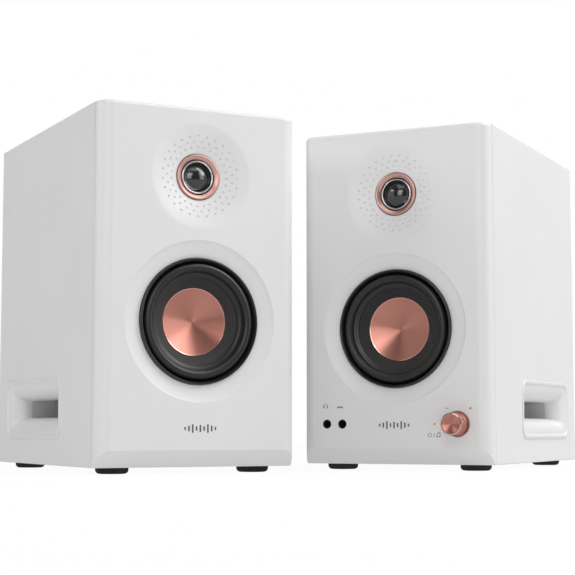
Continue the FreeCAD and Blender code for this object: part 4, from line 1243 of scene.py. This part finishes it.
@dataclass
class Tweeter:
    """Dome driver: rose ring, black plate, bright ring, and a glossy dome in its roll."""

    cabinet: Cabinet
    gold_radius: float = 14.4
    gold_inner: float = 11.4
    gold_front: float = 4.6
    gold_throat: float = 6.6
    ring_outer: float = 10.7
    ring_inner: float = 9.5
    ring_front: float = 6.2
    plate_radius: float = 22.0
    plate_back: float = 12.0
    moulding_back: float = 10.0
    dome_radius: float = 8.4
    roll_radius: float = 9.2
    dome_foot: float = 9.0
    dome_tall: float = 4.1
    dome_skin: float = 0.5
    place: Matrix = field(init=False)

    def __post_init__(self) -> None:
        """Find the driver's axis from its trim ring."""
        self.place = self.cabinet.at(z=self.cabinet.height_of("tweeter_trim_ring"))

    def rose_ring(self) -> None:
        """Conical ring with a rounded crest."""
        outer, front = self.gold_radius, self.gold_front
        crest = arc((outer - 0.75, front + 0.75), (0.75, 0.75), 0, -125, 8)
        profile = [(outer, self.moulding_back), *crest,
                   (self.gold_inner + 0.45, self.gold_throat - 0.45),
                   (self.gold_inner + 0.1, self.gold_throat - 0.2),
                   (self.gold_inner, self.gold_throat), (self.gold_inner, self.moulding_back)]
        self.cabinet.install(lathe(profile, 128), "tweeter_rose_ring", self.place, RING_ROSE,
                             "rose_gold", stands_for=["tweeter_trim_ring"])

    def plate(self) -> None:
        """Black plate behind the moulding, and the bright ring that stands on it."""
        wall = self.ring_inner
        plate = [(wall, self.moulding_back), (self.plate_radius - 0.4, self.moulding_back),
                 (self.plate_radius, self.moulding_back + 0.4),
                 (self.plate_radius, self.plate_back), (wall, self.plate_back)]
        self.cabinet.install(lathe(plate, 96), "tweeter_black_plate", self.place, JACK_BLACK,
                             "black_moulding", stands_for=["tweeter_faceplate"])
        front = self.ring_front
        middle = (self.ring_outer + self.ring_inner) / 2
        half = (self.ring_outer - self.ring_inner) / 2
        ring = [(self.ring_outer, self.moulding_back), (self.ring_outer, front + half),
                *arc((middle, front + half), (half, half), 0, -180, 12),
                (self.ring_inner, self.moulding_back)]
        self.cabinet.install(lathe(ring, 128), "tweeter_bright_ring", self.place, CHROME,
                             "plated_steel")

    def dome(self) -> None:
        """Dome with its own small roll, and the tube that carries the coil."""
        radius, foot, tall = self.dome_radius, self.dome_foot - 0.4, self.dome_tall - 0.4
        ball = (radius ** 2 + tall ** 2) / (2 * tall)
        sweep = math.degrees(math.asin(radius / ball))
        steps = 22
        front = []
        for step in range(1, steps + 1):
            angle = math.radians(sweep * step / steps)
            front.append((ball * math.sin(angle), foot - tall + ball * (1 - math.cos(angle))))
        roll_mid = (radius + self.roll_radius) / 2
        roll_half = (self.roll_radius - radius) / 2
        roll = arc((roll_mid, foot + 0.25), (roll_half, 0.7), 190, 360, 10)
        tube = [(self.roll_radius, foot + 0.5), (self.roll_radius, foot + 5.0),
                (self.roll_radius - self.dome_skin, foot + 5.0),
                (self.roll_radius - self.dome_skin, foot + 0.9), (radius, foot + 0.9)]
        rear = [(r * (1 - self.dome_skin / radius), y + self.dome_skin)
                for r, y in reversed(front)]
        profile = [(0, foot - tall), *front, *roll, *tube, *rear,
                   (0, foot - tall + self.dome_skin)]
        self.cabinet.install(lathe(profile, 128, closed=False), "tweeter_film_dome",
                             self.place, DOME_FILM, "dome_film", "tweeter_diaphragm",
                             ["tweeter_dome"])

    def build(self) -> None:
        """Make every piece of the driver that shows from the front."""
        self.rose_ring()
        self.plate()
        self.dome()


# ---------------------------------------------------------------- printed marks

@dataclass
class Print:
    """Thin solid marks on a face, gathered into one mesh in the plane of that face."""

    skin: float = 0.12
    bm: bmesh.types.BMesh = field(default_factory=bmesh.new)

    def bar(self, x: float, z: float, width: float, height: float, lean: float = 0.0) -> None:
        """Add a bar with softened corners.

        Args:
            x: middle across.
            z: middle upwards.
            width: size across.
            height: size upwards.
            lean: degrees that it leans.
        """
        one = block(Vector((-width / 2, -self.skin / 2, -height / 2)),
                    Vector((width / 2, self.skin / 2, height / 2)))
        ends = [e for e in one.edges if abs(e.verts[0].co.y - e.verts[1].co.y) > TINY]
        soften(one, ends, min(width, height) * 0.3, 3)
        add_to(self.bm, one, Matrix.Translation((x, 0, z))
               @ Matrix.Rotation(math.radians(lean), 4, "Y"))

    def disc(self, x: float, z: float, radius: float, flat: float = 1.0) -> None:
        """Add a disc or, with flat below 1, an oval.

        Args:
            x: middle across.
            z: middle upwards.
            radius: half its width.
            flat: its height as a share of its width.
        """
        bmesh.ops.create_cone(self.bm, cap_ends=True, segments=24, radius1=radius,
                              radius2=radius, depth=self.skin,
                              matrix=Matrix.Translation((x, 0, z))
                              @ Matrix.Diagonal((1, 1, flat, 1)) @ AXIS_UP)

    def bow(self, x: float, z: float, radius: float, width: float, start: float,
            sweep: float) -> None:
        """Add part of a ring.

        Args:
            x: middle across.
            z: middle upwards.
            radius: radius of the line.
            width: width of the line.
            start: where it starts, in degrees up from the right.
            sweep: how far it goes round.
        """
        one = bmesh.new()
        half, thick = width / 2, self.skin / 2
        corners = [one.verts.new((radius + a * half, b * thick, 0))
                   for a, b in ((-1, -1), (1, -1), (1, 1), (-1, 1))]
        face = one.faces.new(corners)
        full = sweep >= 360
        bmesh.ops.spin(one, geom=[face, *face.edges, *face.verts], cent=(0, 0, 0),
                       axis=(0, -1, 0), dvec=(0, 0, 0), angle=math.radians(sweep), steps=28,
                       use_merge=full)
        if full:
            inside = [f for f in one.faces if all(abs(v.co.z) < TINY and v.co.x > 0
                                                  for v in f.verts)]
            bmesh.ops.delete(one, geom=inside, context="FACES_ONLY")
        bmesh.ops.remove_doubles(one, verts=one.verts, dist=TINY)
        bmesh.ops.recalc_face_normals(one, faces=one.faces)
        add_to(self.bm, one, Matrix.Translation((x, 0, z))
               @ Matrix.Rotation(math.radians(-start), 4, "Y"))


@dataclass
class FrontMarks:
    """A plain sound-wave mark on each front, and the icons round the controls."""

    cabinet: Cabinet
    wave: tuple[float, ...] = (0.38, 0.66, 1.0, 0.52, 0.84, 0.52, 1.0, 0.66, 0.38)
    wave_tall: float = 5.3
    wave_pitch: float = 2.55
    wave_bar: float = 1.05
    wave_height: Point = (23.8, 26.0)
    headphones: Point = (-49.7, 38.7)
    line_in: Point = (-38.9, 38.0)
    less: Point = (37.1, 37.0)
    more: Point = (53.1, 36.9)
    power: Point = (25.2, 19.5)
    slash: Point = (28.2, 19.5)
    notes: tuple[float, float] = (30.1, 31.9)
    notes_foot: float = 18.5
    sign: Point = (1.9, 0.36)

    def build(self) -> None:
        """Print the marks on this cabinet's front."""
        ink = Print()
        right = self.cabinet.side is Side.RIGHT
        height = self.wave_height[1 if right else 0]
        first = -self.wave_pitch * (len(self.wave) - 1) / 2
        for index, share in enumerate(self.wave):
            ink.bar(first + self.wave_pitch * index, height, self.wave_bar,
                    self.wave_tall * share)
        if right:
            self.add_icons(ink)
        self.cabinet.install(ink.bm, "printed_marks", self.cabinet.at(), INK,
                             "black_moulding")

    def add_icons(self, ink: Print) -> None:
        """Add the headphone, line-in, less, more, power and note icons.

        Args:
            ink: the print that they join.
        """
        x, z = self.headphones
        ink.bow(x, z, 1.45, 0.32, 0, 180)
        for side in (-1, 1):
            ink.bar(x + 1.3 * side, z - 0.6, 0.75, 1.6)
        x, z = self.line_in
        ink.bar(x, z, 4.2, 0.3)
        for offset in (-1.5, 0.0, 1.5):
            ink.bar(x + offset, z, 0.8, 1.3)
        long, thin = self.sign
        ink.bar(*self.less, long, thin)
        ink.bar(*self.more, long, thin)
        ink.bar(*self.more, thin, long)
        x, z = self.power
        ink.bow(x, z, 1.25, 0.3, 125, 290)
        ink.bar(x, z + 0.9, 0.3, 1.5)
        ink.bar(*self.slash, 0.3, 2.9, 24)
        z = self.notes_foot
        for x in self.notes:
            ink.disc(x, z, 0.55, 0.8)
            ink.bar(x + 0.42, z + 1.2, 0.26, 2.5)
        ink.bar(sum(self.notes) / 2 + 0.4, z + 2.35, 2.0, 0.45)


# ---------------------------------------------------------------- front controls

@dataclass
class FrontControls:
    """Volume knob, lamp and jack liners on the active cabinet."""

    cabinet: Cabinet
    plan: ControlPlan = ControlPlan()
    knob_radius: float = 7.1
    knob_stand: float = 13.5
    knob_gap: float = 0.6
    shaft_radius: float = 3.05
    lamp_radius: float = 0.62
    lamp_back: float = 9.0
    socket_bore: float = 1.8
    socket_front: float = 2.5
    washer: tuple[Point, ...] = ((4.3, 1.58), (8.3, 1.58), (8.42, 1.46), (8.42, 0.5),
                                 (8.3, 0.42), (8.05, 0.6), (8.0, 1.3), (4.3, 1.4))

    def volume_knob(self) -> None:
        """Turned knob: dished face, bright chamfer, knurled side, and a waist near its foot."""
        radius, stand, low = self.knob_radius, self.knob_stand, self.knob_gap
        rim = radius - 1.0
        face = [(rim * i / 12, -stand + 0.75 * (1 - (i / 12) ** 2)) for i in range(1, 13)]
        side = [(radius - 0.55, -stand + 0.02), (radius, -stand + 0.6),
                (radius, -stand + 0.75), (radius, -low - 3.2), (radius - 0.1, -low - 3.0),
                (radius - 0.7, -low - 2.7), (radius - 0.7, -low - 1.9),
                (radius - 0.1, -low - 1.65), (radius, -low - 1.5), (radius, -low - 0.2),
                (radius - 0.2, -low)]
        bore = [(self.shaft_radius, -low), (self.shaft_radius, -stand + 2.8),
                (0, -stand + 2.8)]
        bm = lathe([(0, -stand + 0.75), *face, *side, *bore], 120, closed=False)
        for f in bm.faces:
            middle = f.calc_center_median()
            beyond = math.hypot(middle.x, middle.z)
            if rim < beyond < radius - 0.05 and middle.y < -stand + 0.7:
                f.material_index = 1
            elif beyond > radius - 0.05 and -stand + 0.7 < middle.y < -low - 3.0:
                f.material_index = 2
        made = self.cabinet.install(
            bm, "knob_turned", self.cabinet.at(self.plan.knob, 0, self.plan.height), SPUN_ROSE,
            "rose_gold", "volume_turn", edge_finish=BRIGHT_EDGE)
        made.data.materials.append(GRIP_ROSE.material())
        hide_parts("right_volume_knob")

    def well_ring(self) -> None:
        """Thin rose washer that lines the floor of the knob's well."""
        self.cabinet.install(lathe(self.washer, 96), "knob_well_ring",
                             self.cabinet.at(self.plan.knob, 0, self.plan.height), RING_ROSE,
                             "rose_gold")

    def lens(self) -> None:
        """Tiny domed lens of the status lamp."""
        radius = self.lamp_radius
        profile = [(0, -0.1), *arc((radius - 0.3, 0.2), (0.3, 0.28), -90, 0, 6),
                   (radius, self.lamp_back), (0, self.lamp_back)]
        self.cabinet.install(lathe(profile, 40, closed=False), "lamp_domed_lens",
                             self.cabinet.at(self.plan.lamp, 0, self.plan.height), LAMP_RED,
                             "lamp_lens", stands_for=["status_lens"])

    def jack_liners(self) -> None:
        """Black funnels that lead into the two jack sockets."""
        outer, inner = self.plan.jack_hole - 0.01, self.socket_bore
        back = self.socket_front - 0.01
        profile = [(outer, 0.02), (outer, back), (inner, back), (inner + 0.1, 1.2),
                   (outer - 0.3, 0.25), (outer - 0.12, 0.02)]
        bm = bmesh.new()
        for x in self.plan.jacks:
            one = lathe(profile, 64)
            wrap_round(one)
            add_to(bm, one, Matrix.Translation((x, 0, 0)))
        bm.verts.layers.float.remove(bm.verts.layers.float[RUN_LAYER])
        self.cabinet.install(bm, "jack_liners", self.cabinet.at(z=self.plan.height),
                             JACK_BLACK, "black_moulding")

    def build(self) -> None:
        """Make the controls of the active cabinet's front."""
        self.volume_knob()
        self.well_ring()
        self.lens()
        self.jack_liners()


# ---------------------------------------------------------------- rear marks

@dataclass
class RearMarks:
    """Plain icons beside the rear terminals and sockets."""

    cabinet: Cabinet
    box_depth: float = 208.0
    sign: Point = (2.6, 0.5)
    left_terminals: Point = (28.6, 105.0)
    right_terminals: Point = (11.0, 124.0)
    tone_knobs: Point = (20.0, 168.0)
    scale_radius: float = 10.2
    scale_step: float = 33.75
    scale_line: float = 0.45
    phono: Point = (11.0, 142.0)
    phono_ring: float = 7.0
    switch: float = -22.0
    switch_on: float = 76.0
    switch_off: float = 44.0

    def build(self) -> None:
        """Print the icons on the rear of this cabinet."""
        ink = Print()
        right = self.cabinet.side is Side.RIGHT
        x, z = self.right_terminals if right else self.left_terminals
        long, thin = self.sign
        ink.bar(x, z, long, thin)
        ink.bar(x, z, thin, long)
        ink.bar(-x, z, long, thin)
        if right:
            self.add_panel_marks(ink)
        self.cabinet.install(ink.bm, "rear_marks", self.cabinet.at(y=self.box_depth),
                             PALE_INK, "white_moulding")

    def add_panel_marks(self, ink: Print) -> None:
        """Add the tone knobs' scales, the phono rings and the switch's two signs.

        Args:
            ink: the print that they join.
        """
        reach, height = self.tone_knobs
        for x in (-reach, reach):
            for step in range(-4, 5):
                lean = step * self.scale_step
                angle = math.radians(90 - lean)
                ink.bar(x + self.scale_radius * math.cos(angle),
                        height + self.scale_radius * math.sin(angle),
                        self.scale_line, 1.0 if step % 4 else 1.7, lean)
        for x in (-self.phono[0], self.phono[0]):
            ink.bow(x, self.phono[1], self.phono_ring, self.scale_line, 0, 360)
        ink.bar(self.switch, self.switch_on, 0.6, 2.6)
        ink.bow(self.switch, self.switch_off, 1.3, 0.5, 0, 360)


# ---------------------------------------------------------------- carried-over nodes

def dress_cad_nodes() -> None:
    """Give every CAD node that still shows its procedural material."""
    slots = {part["node"]: part["material_slot"] for part in frame["record"]["subparts"]}
    for name, node in frame["nodes"].items():
        look = CAD_FINISHES[slots[name]]
        node.data.materials.clear()
        node.data.materials.append(look.material())
        LOG.info("%s: %s", name, look.name)


# ---------------------------------------------------------------- studio

@dataclass(frozen=True)
class Lamp:
    """One soft rectangular lamp: sizes in metres, power in watts.

    mirrored says that glossy pieces show it, and lights that matt pieces are lit by it.
    """

    name: str
    place: Spot
    aim: Spot
    size: Point
    watts: float
    mirrored: bool = True
    lights: bool = True

    def hang(self) -> None:
        """Put the lamp into the scene, turned to its aim."""
        data = bpy.data.lights.new(self.name, "AREA")
        data.shape, data.energy = "RECTANGLE", self.watts
        data.size, data.size_y = self.size
        lamp = bpy.data.objects.new(self.name, data)
        lamp.location = self.place
        lamp.visible_glossy, lamp.visible_diffuse = self.mirrored, self.lights
        turn = (Vector(self.aim) - Vector(self.place)).to_track_quat("-Z", "Y")
        lamp.rotation_euler = turn.to_euler()
        bpy.context.scene.collection.objects.link(lamp)


@dataclass
class Studio:
    """Camera, pale floor, even surroundings and soft lamps."""

    eye: Spot = (-0.00636, -1.05366, 0.02844)
    pitch: float = 5.363
    lens: float = 93.35
    sensor: float = 36.0
    floor_reach: float = 1.6
    fill: float = 0.32
    mirrored: float = 0.13
    glow_seen: float = 0.88
    floor_dulled: float = 0.3
    lamps: tuple[Lamp, ...] = (
        Lamp("key_right", (1.3, 0.22, 1.5), (0.05, -0.05, 0.12), (1.9, 1.7), 34.0),
        Lamp("left_box", (-1.7, -0.5, 0.95), (-0.05, -0.05, 0.12), (0.8, 0.7), 8.5),
        Lamp("front_box", (-0.2, -2.2, 1.3), (0.0, 0.0, 0.12), (1.2, 0.8), 4.5),
        Lamp("front_low", (0.35, -2.2, 0.03), (0.07, 0.0, 0.1), (1.6, 0.4), 7.0,
             mirrored=False),
        Lamp("top_soft", (0.1, -0.7, 2.1), (0.0, 0.0, 0.05), (1.8, 1.8), 10.0),
        Lamp("glint_right", (1.45, -0.5, 0.68), (-0.1, 0.0, 0.15), (1.0, 1.2), 6.0,
             lights=False),
        Lamp("glint_front", (-0.45, -2.1, 0.7), (0.1, 0.0, 0.15), (1.1, 1.2), 8.5,
             lights=False))

    def camera(self) -> None:
        """Set the camera in front of the pair, a little above the table."""
        data = bpy.data.cameras.new("camera")
        data.lens, data.sensor_width = self.lens, self.sensor
        data.clip_start, data.clip_end = 0.01, 50.0
        eye = bpy.data.objects.new("camera", data)
        eye.location = self.eye
        eye.rotation_euler = (math.radians(90 + self.pitch), 0.0, 0.0)
        bpy.context.scene.collection.objects.link(eye)
        bpy.context.scene.camera = eye

    def floor(self) -> None:
        """Lay the pale floor under the feet."""
        bm = bmesh.new()
        bmesh.ops.create_grid(bm, x_segments=8, y_segments=8, size=self.floor_reach)
        mesh = bpy.data.meshes.new("studio_floor")
        bm.to_mesh(mesh)
        bm.free()
        ground = bpy.data.objects.new("studio_floor", mesh)
        mesh.materials.append(self.lit_floor())
        bpy.context.scene.collection.objects.link(ground)

    def lit_floor(self) -> bpy.types.Material:
        """The floor's finish, lit from below for the eye so that shadows stay faint.

        Returns:
            The floor's material.
        """
        material = FLOOR.material()
        bench = Bench(material.node_tree)
        surface = next(n for n in material.node_tree.nodes if n.type == "BSDF_PRINCIPLED")
        output = next(n for n in material.node_tree.nodes if n.type == "OUTPUT_MATERIAL")
        glow = bench.add("ShaderNodeEmission", {"Color": (1, 1, 1, 1), "Strength": 1.02})
        path = bench.add("ShaderNodeLightPath")
        share = bench.math("MULTIPLY", path.outputs["Is Camera Ray"], self.glow_seen)
        unlit = bench.add("ShaderNodeEmission", {"Color": (0, 0, 0, 1), "Strength": 0.0})
        dulled = bench.math("MULTIPLY", path.outputs["Is Glossy Ray"], self.floor_dulled)
        felt = bench.add("ShaderNodeMixShader", {0: dulled, 1: surface.outputs[0],
                                                 2: unlit.outputs[0]})
        mix = bench.add("ShaderNodeMixShader", {0: share, 1: felt.outputs[0],
                                                2: glow.outputs[0]})
        material.node_tree.links.new(mix.outputs[0], output.inputs["Surface"])
        return material

    def surroundings(self) -> None:
        """White to the eye, and a softer even light on the pieces."""
        world = bpy.data.worlds.new("studio")
        bpy.context.scene.world = world
        world.use_nodes = True
        tree = world.node_tree
        tree.nodes.clear()
        bench = Bench(tree)
        seen = bench.add("ShaderNodeBackground", {"Color": (1, 1, 1, 1), "Strength": 1.0})
        path = bench.add("ShaderNodeLightPath")
        dark = bench.math("MULTIPLY", path.outputs["Is Glossy Ray"], self.fill - self.mirrored)
        felt = bench.add("ShaderNodeBackground", {
            "Color": (1, 1, 1, 1), "Strength": bench.math("SUBTRACT", self.fill, dark)})
        mix = bench.add("ShaderNodeMixShader", {0: path.outputs["Is Camera Ray"],
                                                1: felt.outputs[0], 2: seen.outputs[0]})
        bench.add("ShaderNodeOutputWorld", {"Surface": mix.outputs[0]})

    def lights(self) -> None:
        """Hang the soft lamps."""
        for lamp in self.lamps:
            lamp.hang()

    def build(self) -> None:
        """Set up the whole studio."""
        bpy.context.scene.view_settings.view_transform = "Standard"
        self.camera()
        self.floor()
        self.surroundings()
        self.lights()


def main() -> None:
    """Build the studio, both speakers and their finishes."""
    logging.basicConfig(level=logging.INFO, format="%(message)s")
    Studio().build()
    dress_cad_nodes()
    for side in Side:
        cabinet = Cabinet.of(side)
        FrontMoulding(cabinet).build()
        PortMouth(cabinet).build()
        Feet(cabinet).build()
        Woofer(cabinet).build()
        Tweeter(cabinet).build()
        FrontMarks(cabinet).build()
        RearMarks(cabinet).build()
        if side is Side.RIGHT:
            FrontControls(cabinet).build()


if __name__ == "__main__":
    main()
